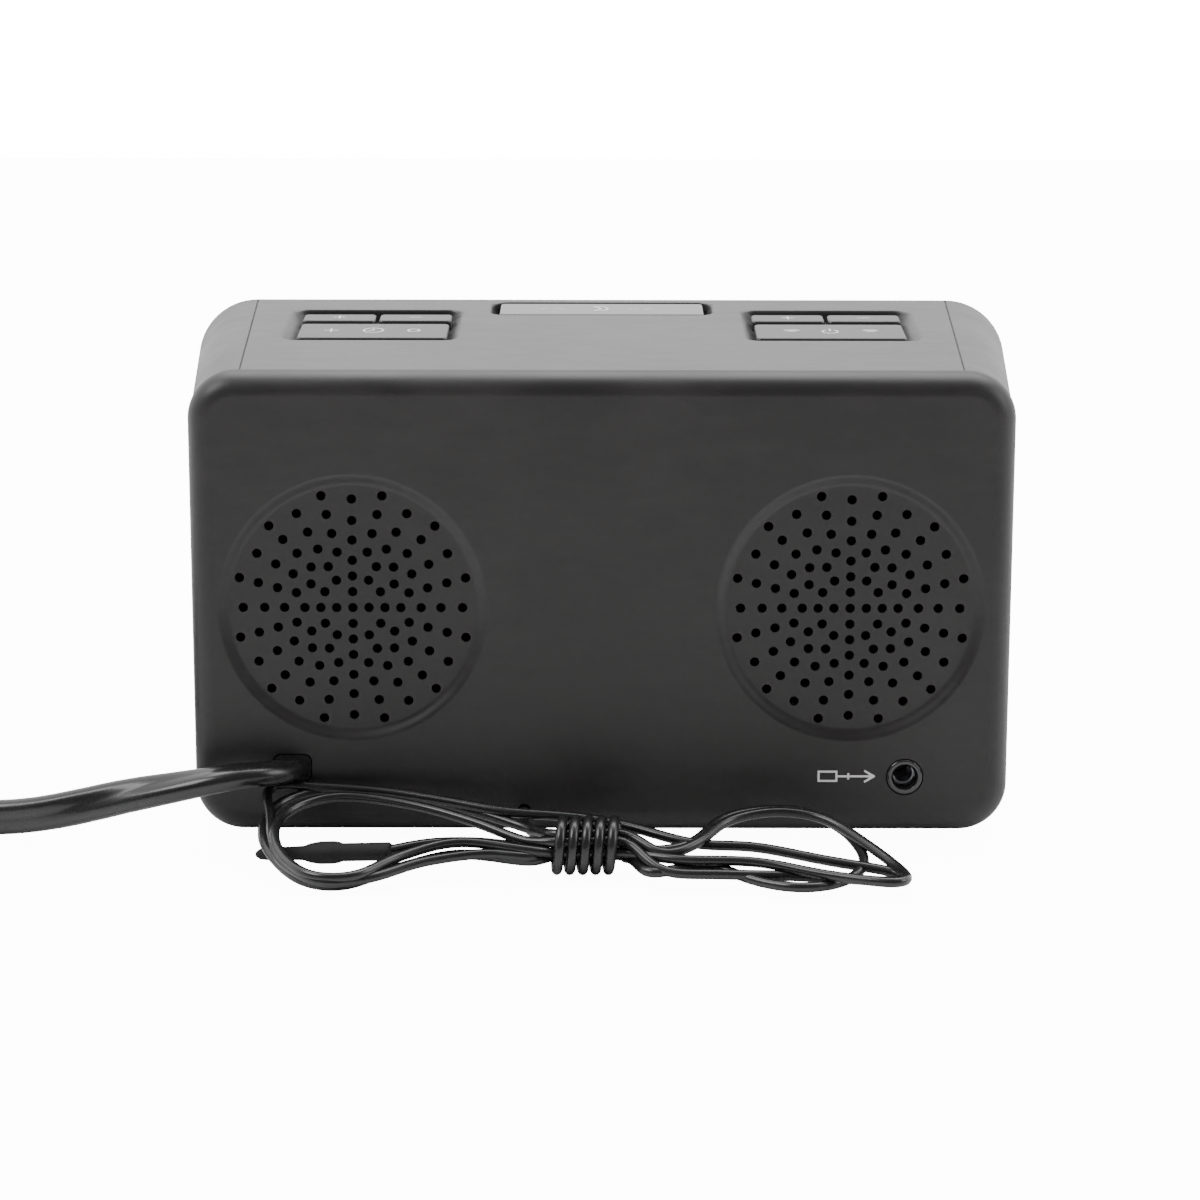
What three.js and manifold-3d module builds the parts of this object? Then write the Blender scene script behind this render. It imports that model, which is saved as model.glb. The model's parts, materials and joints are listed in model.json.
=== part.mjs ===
// A mains clock radio: a cabinet whose top slopes up to the front, a rear cover with two speaker
// grilles, a front bezel with a display window, seven top keys, a mains lead and a tied wire aerial.
// Millimetres. X is the width, the display faces -Y, the rear cover faces +Y, +Z is up, and the
// origin is on the table under the middle of the cabinet.
import * as THREE from "three";
import { mergeVertices } from "three/addons/utils/BufferGeometryUtils.js";
import Module from "manifold-3d";

const wasm = await Module();
wasm.setup();

// ---------------------------------------------------------------- driving dimensions
const COVER_WIDTH = 137.6;
const COVER_HEIGHT = 78.2;
const COVER_CORNER = 8.2;
const COVER_EDGE = 4.4; // radius of the rear cover's rounded edge, and so its depth
const COVER_PROUD = 0.3; // the cover stands this far out of the cabinet at its sides and top
const FRONT_WIDTH = 148.4; // cabinet at its front rim
const FRONT_HEIGHT = 85.5;
const FRONT_CORNER = 10.9;
const CABINET_DEPTH = 54.2; // rear rim to front rim
const BEZEL_DEPTH = 4; // front rim to front face
const BEZEL_EDGE = 3; // radius of the bezel's rounded edge
const FOOT_PROUD = 1.2; // the underside stands this far off the table
const WALL = 2.2;
const GAP = 0.3; // between pieces that meet
const SPEAKER_SPACING = 83;
const SPEAKER_HEIGHT = 39.9;
const KEY_TRAVEL = 0.6;
const CORNER_STEPS = 6;

const DEPTH = COVER_EDGE + CABINET_DEPTH + BEZEL_DEPTH;
const REAR_Y = DEPTH / 2;
const FRONT_Y = -DEPTH / 2;
const RIM_REAR_Y = REAR_Y - COVER_EDGE;
const RIM_FRONT_Y = FRONT_Y + BEZEL_DEPTH;
const FLOOR_Z = FOOT_PROUD;
const FRONT_MIDDLE_Z = FLOOR_Z + FRONT_HEIGHT / 2;
const RIM_WIDTH = COVER_WIDTH - 2 * COVER_PROUD; // cabinet at its rear rim
const RIM_HEIGHT = COVER_HEIGHT - COVER_PROUD;
const DECK_SLOPE = Math.atan2(FRONT_HEIGHT - RIM_HEIGHT, CABINET_DEPTH);
const COVER_INNER_Y = REAR_Y - WALL;

// ---------------------------------------------------------------- solids
/** A closed three.js geometry as a manifold-3d solid. */
function solid(geometry) {
  const bare = geometry.clone();
  for (const name of ["normal", "uv"]) bare.deleteAttribute(name);
  const merged = mergeVertices(bare, 1e-4);
  const mesh = new wasm.Mesh({
    numProp: 3,
    vertProperties: merged.attributes.position.array,
    triVerts: new Uint32Array(merged.index.array),
  });
  return new wasm.Manifold(mesh);
}

/** A manifold-3d solid back as a three.js geometry. */
function geometryOf(body) {
  const mesh = body.getMesh();
  const geometry = new THREE.BufferGeometry();
  geometry.setAttribute("position", new THREE.BufferAttribute(mesh.vertProperties, 3));
  geometry.setIndex(new THREE.BufferAttribute(mesh.triVerts, 1));
  const flat = geometry.toNonIndexed();
  flat.computeVertexNormals();
  return flat;
}

/** A box between two corners. */
function box([x0, y0, z0], [x1, y1, z1]) {
  const geometry = new THREE.BoxGeometry(x1 - x0, y1 - y0, z1 - z0);
  return solid(geometry.translate((x0 + x1) / 2, (y0 + y1) / 2, (z0 + z1) / 2));
}

/** A cylinder or cone along +Z from a point. */
function rod([x, y, z], radius, length, sides = 24, top = radius) {
  const geometry = new THREE.CylinderGeometry(top, radius, length, sides);
  return solid(geometry.rotateX(Math.PI / 2).translate(x, y, z + length / 2));
}

/** A cylinder or cone along +Y from a point. */
function rodY([x, y, z], radius, length, sides = 24, top = radius) {
  const geometry = new THREE.CylinderGeometry(top, radius, length, sides);
  return solid(geometry.translate(x, y + length / 2, z));
}

/** A cylinder along +X from a point. */
function rodX([x, y, z], radius, length, sides = 24) {
  const geometry = new THREE.CylinderGeometry(radius, radius, length, sides);
  return solid(geometry.rotateZ(-Math.PI / 2).translate(x + length / 2, y, z));
}

/** A profile of [radius, height] points turned about Y, its heights measured from a point. */
function turnedY([x, y, z], profile, sides = 28) {
  const points = profile.map(([r, h]) => new THREE.Vector2(r, h));
  return solid(new THREE.LatheGeometry(points, sides).translate(x, y, z));
}

/** The points of a rounded rectangle centred on (0, 0). */
function roundedOutline(width, height, radius, steps = CORNER_STEPS) {
  const points = [];
  for (let corner = 0; corner < 4; corner++) {
    const cx = (corner === 0 || corner === 3 ? 1 : -1) * (width / 2 - radius);
    const cy = (corner < 2 ? 1 : -1) * (height / 2 - radius);
    for (let i = 0; i <= steps; i++) {
      const angle = ((corner + i / steps) * Math.PI) / 2;
      points.push([cx + radius * Math.cos(angle), cy + radius * Math.sin(angle)]);
    }
  }
  return points;
}

/** A rounded rectangle in X and Y from z0 up to z1. */
function slab([x, y], width, height, radius, z0, z1, steps = 4) {
  const points = roundedOutline(width, height, radius, steps);
  const shape = new THREE.Shape(points.map((p) => new THREE.Vector2(...p)));
  const geometry = new THREE.ExtrudeGeometry(shape, { depth: z1 - z0, bevelEnabled: false });
  return solid(geometry.translate(x, y, z0));
}

/** A rounded rectangle in X and Z from y0 to y1. */
function slabY([x, z], width, height, radius, y0, y1, steps = 4) {
  return slab([0, 0], width, height, radius, 0, y1 - y0, steps)
    .rotate([90, 0, 0])
    .translate([x, y1, z]);
}

/** A closed convex-ended solid through rings of equally many [x, y, z] points. */
function loft(rings) {
  const count = rings[0].length;
  const last = (rings.length - 1) * count;
  const index = [];
  for (let s = 0; s < last; s += count) {
    for (let i = 0; i < count; i++) {
      const a = s + i;
      const b = s + ((i + 1) % count);
      index.push(a, b, b + count, a, b + count, a + count);
    }
  }
  for (let i = 1; i + 1 < count; i++) index.push(0, i + 1, i, last, last + i, last + i + 1);
  const geometry = new THREE.BufferGeometry();
  geometry.setAttribute("position", new THREE.Float32BufferAttribute(rings.flat(2), 3));
  geometry.setIndex(index);
  return solid(geometry);
}

/** The solid through rounded rectangles in X and Z; they run from high y to low y. */
function caseLoft(sections) {
  const ringOf = ({ y, width, height, radius }) => {
    const middle = FLOOR_Z + sections[0].lift + height / 2;
    return roundedOutline(width, height, Math.max(radius, 0.5)).map(([x, z]) => [x, y, z + middle]);
  };
  return loft(sections.map(ringOf));
}

/** The size of the case's outline, drawn in by an inset, as a section at a depth y. */
function section(y, width, height, corner, inset, lift = inset) {
  return { y, width: width - 2 * inset, height: height - 2 * inset, radius: corner - inset, lift };
}

/** A tapered block that follows the cabinet between its rims, run on by some millimetres each way. */
function cabinetBlock(inset, beyond) {
  const grow = beyond / CABINET_DEPTH;
  const at = (y, t) =>
    section(
      y,
      RIM_WIDTH + (FRONT_WIDTH - RIM_WIDTH) * t,
      RIM_HEIGHT + (FRONT_HEIGHT - RIM_HEIGHT) * t,
      COVER_CORNER + (FRONT_CORNER - COVER_CORNER) * t,
      inset,
    );
  return caseLoft([at(RIM_REAR_Y + beyond, -grow), at(RIM_FRONT_Y - beyond, 1 + grow)]);
}

/** The rounded end of the case: `away` is +1 at the rear and -1 at the front. */
function roundedEnd(width, height, corner, edge, rimY, faceY, away) {
  const steps = 5;
  const rings = [];
  for (let i = 0; i <= steps; i++) {
    const angle = (i / steps) * (Math.PI / 2);
    const inset = edge * (1 - Math.sin(angle));
    const y = faceY - away * edge * (1 - Math.cos(angle));
    const points = roundedOutline(width - 2 * inset, height - 2 * inset, corner - inset);
    rings.push(points.map(([x, z]) => [x, y, z + FLOOR_Z + height / 2]));
  }
  rings.push(rings.at(-1).map(([x, , z]) => [x, rimY, z]));
  return loft(away > 0 ? rings : rings.reverse());
}

/** A tube of round section through a list of points. */
function tube(points, radius, sides, steps) {
  const path = new THREE.CatmullRomCurve3(points.map((p) => new THREE.Vector3(...p)));
  const ring = Array.from({ length: sides }, (_, i) => {
    const angle = (2 * Math.PI * i) / sides;
    return new THREE.Vector2(radius * Math.cos(angle), radius * Math.sin(angle));
  });
  return solid(new THREE.ExtrudeGeometry(new THREE.Shape(ring), { extrudePath: path, steps }));
}

const joined = (bodies) => bodies.reduce((sum, body) => sum.add(body));

const plastic = (color, roughness) => new THREE.MeshStandardMaterial({ color, roughness });
const metal = (color, roughness) => new THREE.MeshStandardMaterial({ color, roughness, metalness: 1 });
const MATERIAL = {
  cabinet: plastic(0x2b2b2c, 0.5),
  cover: plastic(0x1f1e1f, 0.45),
  key: plastic(0x333334, 0.3),
  gloss: plastic(0x0c0c0d, 0.1),
  window: plastic(0x160a0a, 0.05),
  module: plastic(0x26262a, 0.6),
  board: plastic(0x1d5a34, 0.5),
  rubber: plastic(0x171717, 0.85),
  cord: plastic(0x121212, 0.35),
  steel: metal(0xb4b7bb, 0.35),
  brass: metal(0xc9a65c, 0.3),
  copper: metal(0xb0683a, 0.4),
  ferrite: plastic(0x39383a, 0.7),
  paper: plastic(0x1c1b1a, 0.9),
};

const radio = new THREE.Group();
const deck = new THREE.Group(); // its Z is the top's normal and its -Y runs forwards up the slope
deck.rotation.x = -DECK_SLOPE;
deck.position.set(0, RIM_REAR_Y, FLOOR_Z + RIM_HEIGHT);
radio.add(deck);

/** A solid made in the deck's frame, moved to the radio's. */
function onDeck(body) {
  return body.rotate([THREE.MathUtils.radToDeg(deck.rotation.x), 0, 0]).translate(deck.position.toArray());
}

/** Adds a solid as a named mesh. */
function add(name, body, material, group = radio) {
  const mesh = new THREE.Mesh(geometryOf(body), material);
  mesh.name = name;
  group.add(mesh);
}

const SIDES = [
  ["left", -1],
  ["right", 1],
]; // as seen from the front

// ---------------------------------------------------------------- things several pieces share
const SOCKET = { x: -51.1, z: 11.2, nose: 3, mouth: 2.1, bore: 1.8, reach: 12, body: 11.6 };
const SLOT = { x: 51.95, z: 12.6, width: 6.6, height: 4.75, corner: 1.2 };
const AERIAL = { x: 13, z: 5.2, hole: 1.2, radius: 0.85 };
const LIP = { thick: 1.2, length: 1.5 };
const CAVITY_INSET = WALL + GAP + LIP.thick;
const SCREW = { head: 2.6, headHigh: 1.3, shank: 1.2, clearance: 1.5, length: 6.2, wellDeep: 1.8 };
const SCREW_X = 36;
const SCREW_INWARD = 13; // from the rear face and from the front face
const SCREW_Y = { rear: REAR_Y - SCREW_INWARD, front: FRONT_Y + SCREW_INWARD };
const BOSS = { radius: 4.5, high: 3.2 }; // measured from the cabinet's underside
const TAB = { width: 8, high: 4.5, end: 4 };
const FOOT = { radius: 5, thick: 1.7, fromSide: 16.5, fromEnd: 14 };
const WINDOW = { width: 124, height: 54, corner: 4, face: 2.5, sunk: 0.4, flange: 2.7, flangeThick: 1.2 };

// `near` and `far` are distances up the slope from the cabinet's rear rim.
const RECESSES = [
  { x: -40.3, near: 22.6, far: 46.3, width: 31, draft: 2.5 },
  { x: 40.3, near: 22.6, far: 46.3, width: 31, draft: 2.5 },
  { x: 0, near: 42.5, far: 52.8, width: 40.3, draft: 1.2 },
];
const RECESS_DEPTH = 2.2;
const RECESS_CORNER = 3;
const PAN_THICK = 1.6;
const WIDE = { width: 26.2, near: 24.5, far: 35.5 };
const SMALL = { width: 13, near: 37.8, far: 43, offset: 6.8 };
const KEY_CENTRE = 40.1;
const KEYS = [
  { name: "power_key", x: -KEY_CENTRE, ...WIDE, flange: [1, 1] },
  { name: "volume_down_key", x: -KEY_CENTRE - SMALL.offset, ...SMALL, flange: [1, 0] },
  { name: "volume_up_key", x: -KEY_CENTRE + SMALL.offset, ...SMALL, flange: [0, 1] },
  { name: "time_key", x: KEY_CENTRE, ...WIDE, flange: [1, 1] },
  { name: "hour_key", x: KEY_CENTRE - SMALL.offset, ...SMALL, flange: [1, 0] },
  { name: "minute_key", x: KEY_CENTRE + SMALL.offset, ...SMALL, flange: [0, 1] },
  { name: "snooze_bar", x: 0, width: 37, near: 43, far: 52.1, flange: [1, 1] },
];
const KEY_TOP = -0.2; // below the deck
const KEY_CORNER = 0.8;
const KEY_FLANGE = { reach: 1, thick: 1 };
const WELL_CLEARANCE = 0.2;
const STEM = { width: 3, length: 3 };
const SWITCH = { size: 6, high: 3.5, can: 2.5, button: 1.7 };
const SWITCH_PLAY = 0.1; // left between a stem and its switch at full travel
const PAN_BOTTOM = -(RECESS_DEPTH + PAN_THICK);
const FLANGE_TOP = PAN_BOTTOM - GAP;
const FLANGE_BOTTOM = FLANGE_TOP - KEY_FLANGE.thick;
const STEM_BOTTOM = FLANGE_BOTTOM - STEM.length;
const SWITCH_TOP = STEM_BOTTOM - KEY_TRAVEL - SWITCH_PLAY;
const KEY_BOARD = { width: 108, near: 21.5, far: 52, thick: 1.6 };
const KEY_BOARD_TOP = SWITCH_TOP - SWITCH.high - GAP;

// ---------------------------------------------------------------- cabinet
/** The middle of a recess or key in the deck's frame, and how far it runs up the slope. */
function span({ x, near, far }) {
  return { at: [x, -(near + far) / 2], run: far - near };
}

/** A key recess: a cut whose sides draw in by its draft towards its floor. */
function recessCut(recess) {
  const { at, run } = span(recess);
  const ring = (width, height, corner, z) =>
    roundedOutline(width, height, corner).map(([x, y]) => [x + at[0], y + at[1], z]);
  const above = 2;
  const slope = recess.draft / RECESS_DEPTH;
  const floorWidth = recess.width - 2 * recess.draft;
  const floor = ring(floorWidth, run, 1, -RECESS_DEPTH);
  return loft([floor, ring(recess.width + 2 * slope * above, run, RECESS_CORNER, above)]);
}

function keyWell(key) {
  const { at, run } = span(key);
  const extra = 2 * WELL_CLEARANCE;
  const corner = KEY_CORNER + WELL_CLEARANCE;
  return slab(at, key.width + extra, run + extra, corner, PAN_BOTTOM - 1, -RECESS_DEPTH + 1, 2);
}

function recessPan(recess) {
  const { at, run } = span(recess);
  return slab(at, recess.width + 2, run + 1.6, RECESS_CORNER, PAN_BOTTOM, -0.8);
}

function addCabinet() {
  let body = cabinetBlock(0, 0).subtract(cabinetBlock(WALL, 5));
  const bosses = Object.values(SCREW_Y).flatMap((y) => SIDES.map(([, s]) => [s * SCREW_X, y]));
  for (const [x, y] of bosses) body = body.add(rod([x, y, FLOOR_Z + 1], BOSS.radius, BOSS.high - 1));
  for (const recess of RECESSES) body = body.add(onDeck(recessPan(recess)));
  body = body.intersect(cabinetBlock(0, 0));
  for (const recess of RECESSES) body = body.subtract(onDeck(recessCut(recess)));
  for (const key of KEYS) body = body.subtract(onDeck(keyWell(key)));
  for (const [x, y] of bosses) {
    body = body.subtract(rod([x, y, FLOOR_Z - 1], SCREW.head + GAP, SCREW.wellDeep + 1, 16));
    body = body.subtract(rod([x, y, FLOOR_Z - 1], SCREW.clearance, BOSS.high + 3, 12));
  }
  for (const [x, y] of footPlaces())
    body = body.subtract(rod([x, y, FLOOR_Z - 1], FOOT.radius + 0.2, FOOT.thick + GAP - FLOOR_Z + 1));
  add("cabinet", body, MATERIAL.cabinet);
}

function footPlaces() {
  const x = RIM_WIDTH / 2 - FOOT.fromSide;
  const y = DEPTH / 2 - FOOT.fromEnd;
  return SIDES.flatMap(([, s]) => [y, -y].map((footY) => [s * x, footY]));
}

// ---------------------------------------------------------------- rear cover and front bezel
/** A ring that reaches into the cabinet and centres the piece that carries it. At the front it is
 * drawn in further, because the cabinet narrows behind the rim. */
function lip(width, height, corner, rimY, away) {
  const narrowing = away < 0 ? LIP.length * Math.tan(DECK_SLOPE) : 0;
  const outer = section(0, width, height, corner, WALL + GAP + narrowing);
  const inner = section(0, width, height, corner, CAVITY_INSET);
  const middle = FLOOR_Z + height / 2;
  const [y0, y1] = [rimY - away * LIP.length, rimY + away * 1].sort((a, b) => a - b);
  return slabY([0, middle], outer.width, outer.height, outer.radius, y0, y1, CORNER_STEPS).subtract(
    slabY([0, middle], inner.width, inner.height, inner.radius, y0 - 1, y1 + 1, CORNER_STEPS),
  );
}

/** The two screw tabs of a cover or bezel, from its face's inside to past its screws. */
function tabs(faceInner, screwY) {
  const end = screwY + Math.sign(screwY - faceInner) * TAB.end;
  const [y0, y1] = [faceInner, end].sort((a, b) => a - b);
  const z0 = FLOOR_Z + BOSS.high + GAP;
  const made = SIDES.map(([, s]) => {
    const x = s * SCREW_X;
    const block = box([x - TAB.width / 2, y0, z0], [x + TAB.width / 2, y1, z0 + TAB.high]);
    return block.subtract(rod([x, screwY, z0 - 1], SCREW.clearance, TAB.high + 2, 12));
  });
  return joined(made);
}

const GRILLE = { dish: 21.5, deep: 0.9, bevel: 0.9, hole: 0.8, sides: 6, turn: 25, centreRing: 2.7 };
const GRILLE_RINGS = [5.35, 8.0, 11.4, 14.7, 18.3]; // first hole on the axis
const GRILLE_TURNED_RINGS = [9.7, 12.95, 16.25, 19.5]; // turned by half a step
const GRILLE_RING_COUNT = 12;

/** The centres of one grille's holes: the middle, four round it, and rings of twelve. */
function grilleHoles() {
  const ring = (radius, count, turn) =>
    Array.from({ length: count }, (_, i) => {
      const angle = (2 * Math.PI * (i + turn)) / count;
      return [radius * Math.cos(angle), radius * Math.sin(angle)];
    });
  return [
    [0, 0],
    ...ring(GRILLE.centreRing, 4, 0),
    ...GRILLE_RINGS.flatMap((radius) => ring(radius, GRILLE_RING_COUNT, 0)),
    ...GRILLE_TURNED_RINGS.flatMap((radius) => ring(radius, GRILLE_RING_COUNT, 0.5)),
  ];
}

function addRearCover() {
  const rim = RIM_REAR_Y + GAP;
  const outer = roundedEnd(COVER_WIDTH, COVER_HEIGHT, COVER_CORNER, COVER_EDGE, rim, REAR_Y, 1);
  const hollow = section(0, RIM_WIDTH, RIM_HEIGHT, COVER_CORNER, CAVITY_INSET);
  const middle = FLOOR_Z + RIM_HEIGHT / 2;
  let body = outer.subtract(
    slabY([0, middle], hollow.width, hollow.height, hollow.radius, rim - 1, COVER_INNER_Y, CORNER_STEPS),
  );
  body = body.add(lip(RIM_WIDTH, RIM_HEIGHT, COVER_CORNER, RIM_REAR_Y, 1));
  body = body.add(tabs(COVER_INNER_Y + 0.5, SCREW_Y.rear));
  for (const [, side] of SIDES) {
    const centre = [side * (SPEAKER_SPACING / 2), REAR_Y - GRILLE.deep, SPEAKER_HEIGHT];
    const inner = GRILLE.dish - GRILLE.bevel;
    const slope = GRILLE.bevel / GRILLE.deep;
    body = body.subtract(rodY(centre, inner, GRILLE.deep + 1, 40, GRILLE.dish + slope));
    const holes = grilleHoles().map(([x, z]) =>
      rodY([0, COVER_INNER_Y - 1, 0], GRILLE.hole, WALL + 2, GRILLE.sides)
        .rotate([0, GRILLE.turn, 0])
        .translate([centre[0] + x, 0, centre[2] + z]),
    );
    body = body.subtract(joined(holes));
  }
  body = body.subtract(rodY([SOCKET.x, COVER_INNER_Y - 1, SOCKET.z], SOCKET.nose + 0.2, WALL + 2));
  body = body.subtract(rodY([AERIAL.x, COVER_INNER_Y - 1, AERIAL.z], AERIAL.hole, WALL + 2, 12));
  const slotAt = [SLOT.x, SLOT.z];
  body = body.subtract(
    slabY(slotAt, SLOT.width, SLOT.height, SLOT.corner, COVER_INNER_Y - 1, REAR_Y + 1),
  );
  add("rear_cover", body, MATERIAL.cover);
}

function addFrontBezel() {
  const rim = RIM_FRONT_Y - GAP;
  const back = FRONT_Y + WINDOW.face;
  const middle = [0, FRONT_MIDDLE_Z];
  const outer = roundedEnd(FRONT_WIDTH, FRONT_HEIGHT, FRONT_CORNER, BEZEL_EDGE, rim, FRONT_Y, -1);
  const hollow = section(0, FRONT_WIDTH, FRONT_HEIGHT, FRONT_CORNER, CAVITY_INSET);
  let body = outer.subtract(
    slabY(middle, hollow.width, hollow.height, hollow.radius, back, rim + 1, CORNER_STEPS),
  );
  const snoozeRoom = RECESSES[2].width / 2 + 3;
  const ring = lip(FRONT_WIDTH, FRONT_HEIGHT, FRONT_CORNER, RIM_FRONT_Y, -1).subtract(
    box([-snoozeRoom, rim, FRONT_MIDDLE_Z], [snoozeRoom, rim + 10, FRONT_MIDDLE_Z + FRONT_HEIGHT]),
  );
  body = body.add(ring).add(tabs(back - 0.5, SCREW_Y.front));
  body = body.subtract(
    slabY(middle, WINDOW.width, WINDOW.height, WINDOW.corner, FRONT_Y - 1, back + 0.1),
  );
  add("front_bezel", body, MATERIAL.gloss);
}

function addDisplay() {
  const middle = [0, FRONT_MIDDLE_Z];
  const flangeY = FRONT_Y + WINDOW.face + GAP;
  const size = [WINDOW.width - 2 * GAP, WINDOW.height - 2 * GAP];
  const pane = slabY(middle, ...size, WINDOW.corner, FRONT_Y + WINDOW.sunk, flangeY + 0.5);
  const [wide, high] = [WINDOW.width + 2 * WINDOW.flange, WINDOW.height + 2 * WINDOW.flange];
  const flange = slabY(middle, wide, high, WINDOW.corner, flangeY, flangeY + WINDOW.flangeThick);
  add("display_window", pane.add(flange), MATERIAL.window);

  const MODULE = { width: 118, height: 50, thick: 5 };
  const moduleY = flangeY + WINDOW.flangeThick + GAP;
  const display = slabY(middle, MODULE.width, MODULE.height, 1, moduleY, moduleY + MODULE.thick);
  add("display_module", display, MATERIAL.module);

  const BOARD = { width: 122, height: 54, thick: 1.6, z: 40 };
  const boardY = moduleY + MODULE.thick + GAP;
  const board = slabY([0, BOARD.z], BOARD.width, BOARD.height, 1, boardY, boardY + BOARD.thick);
  add("main_board", board, MATERIAL.board);
}

// ---------------------------------------------------------------- keys, switches and key board
function addKeys() {
  for (const key of KEYS) {
    const { at, run } = span(key);
    const [left, right] = key.flange.map((on) => on * KEY_FLANGE.reach);
    const half = key.width / 2;
    const top = slab(at, key.width, run, KEY_CORNER, FLANGE_BOTTOM, KEY_TOP, 2);
    const flange = box(
      [at[0] - half - left, at[1] - run / 2, FLANGE_BOTTOM],
      [at[0] + half + right, at[1] + run / 2, FLANGE_TOP],
    );
    const w = STEM.width / 2;
    const stem = box([at[0] - w, at[1] - w / 2, STEM_BOTTOM], [at[0] + w, at[1] + w / 2, FLANGE_TOP]);
    const material = key.name === "snooze_bar" ? MATERIAL.gloss : MATERIAL.key;
    add(key.name, joined([top, flange, stem]), material, deck);
    const s = SWITCH.size / 2;
    const can = [at[0], at[1]];
    const foot = SWITCH_TOP - SWITCH.high;
    const tact = box([can[0] - s, can[1] - s, foot], [can[0] + s, can[1] + s, foot + SWITCH.can]);
    const button = rod([...can, foot + 1], SWITCH.button, SWITCH.high - 1, 12);
    add(key.name + "_switch", tact.add(button), MATERIAL.steel, deck);
  }
  const half = KEY_BOARD.width / 2;
  const low = KEY_BOARD_TOP - KEY_BOARD.thick;
  const board = box([-half, -KEY_BOARD.far, low], [half, -KEY_BOARD.near, KEY_BOARD_TOP]);
  add("key_board", board, MATERIAL.board, deck);
}

// ---------------------------------------------------------------- what is inside
const SPEAKER = { frame: 22.3, flange: 1.5, mouth: 20.4, wall: 1.3, neck: 11, deep: 12, plate: 1.2 };
const CONE = { radius: 18.8, cap: 6, front: 2, deep: 9.6, thick: 0.7, dome: 2 };
const MAGNET = { radius: 14, thick: 8 };

function addSpeakers() {
  for (const [name, side] of SIDES) {
    const at = [side * (SPEAKER_SPACING / 2), COVER_INNER_Y - GAP, SPEAKER_HEIGHT];
    const skirt = SPEAKER.mouth + SPEAKER.wall;
    const shoulder = -4;
    const basket = [
      [SPEAKER.mouth, 0],
      [SPEAKER.mouth, shoulder],
      [SPEAKER.neck - SPEAKER.wall, -SPEAKER.deep],
      [7, -SPEAKER.deep],
      [7, -SPEAKER.deep - SPEAKER.plate],
      [SPEAKER.neck + 1, -SPEAKER.deep - SPEAKER.plate],
      [skirt, shoulder],
      [skirt, -SPEAKER.flange],
      [SPEAKER.frame, -SPEAKER.flange],
      [SPEAKER.frame, 0],
      [SPEAKER.mouth, 0],
    ];
    add(`speaker_basket_${name}`, turnedY(at, basket), MATERIAL.steel);
    const cone = [
      [0, -CONE.deep - CONE.thick + CONE.dome],
      [CONE.cap, -CONE.deep - CONE.thick],
      [CONE.radius, -CONE.front - CONE.thick],
      [CONE.radius, -CONE.front],
      [CONE.cap, -CONE.deep],
      [0, -CONE.deep + CONE.dome],
    ];
    add(`speaker_cone_${name}`, turnedY(at, cone), MATERIAL.paper);
    const behind = at[1] - SPEAKER.deep - SPEAKER.plate - GAP - MAGNET.thick;
    add(`speaker_magnet_${name}`, rodY([at[0], behind, at[2]], MAGNET.radius, MAGNET.thick), MATERIAL.steel);
  }
}

function addTransformer() {
  const CORE = { width: 34, deep: 12, high: 28, leg: 10, windowHigh: 16, window: 7, winding: 5, y: 3, z: 6.5 };
  const [y, z] = [CORE.y, CORE.z];
  const w = CORE.width / 2;
  const d = CORE.deep / 2;
  let core = box([-w, y - d, z], [w, y + d, z + CORE.high]);
  const z0 = z + (CORE.high - CORE.windowHigh) / 2;
  const z1 = z0 + CORE.windowHigh;
  const inner = CORE.leg / 2;
  for (const [, s] of SIDES) {
    const xs = [s * inner, s * (inner + CORE.window)].sort((a, b) => a - b);
    core = core.subtract(box([xs[0], y - d - 1, z0], [xs[1], y + d + 1, z1]));
  }
  add("transformer_core", core, MATERIAL.steel);
  const [bx, by] = [inner + CORE.window - GAP, d + CORE.winding];
  const [hx, hy] = [inner + GAP, d + GAP];
  const bobbin = box([-bx, y - by, z0 + GAP], [bx, y + by, z1 - GAP]).subtract(
    box([-hx, y - hy, z0 - 1], [hx, y + hy, z1 + 1]),
  );
  add("transformer_bobbin", bobbin, MATERIAL.copper);
}

function addAmAerial() {
  const ROD = { radius: 4, length: 60, y: 13, z: 70 };
  const COIL = { radius: 5.6, length: 18, start: -24 };
  add("ferrite_rod", rodX([-ROD.length / 2, ROD.y, ROD.z], ROD.radius, ROD.length), MATERIAL.ferrite);
  const coil = rodX([COIL.start, ROD.y, ROD.z], COIL.radius, COIL.length).subtract(
    rodX([COIL.start - 1, ROD.y, ROD.z], ROD.radius + GAP, COIL.length + 2),
  );
  add("rod_coil", coil, MATERIAL.copper);
}

function addSocket() {
  const { x, z } = SOCKET;
  const half = SOCKET.body / 2;
  const back = COVER_INNER_Y - GAP;
  const block = box([x - half, back - SOCKET.reach, z - half], [x + half, back, z + half]);
  const nose = rodY([x, back - 1, z], SOCKET.nose, REAR_Y - 0.1 - back + 1);
  const bore = rodY([x, back - SOCKET.reach + 1, z], SOCKET.bore, DEPTH, 16);
  const mouthDeep = 0.8;
  const flare = rodY([x, REAR_Y - mouthDeep, z], SOCKET.bore, mouthDeep, 16, SOCKET.mouth);
  add("aux_socket", block.add(nose).subtract(bore).subtract(flare), MATERIAL.gloss);
}

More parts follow.
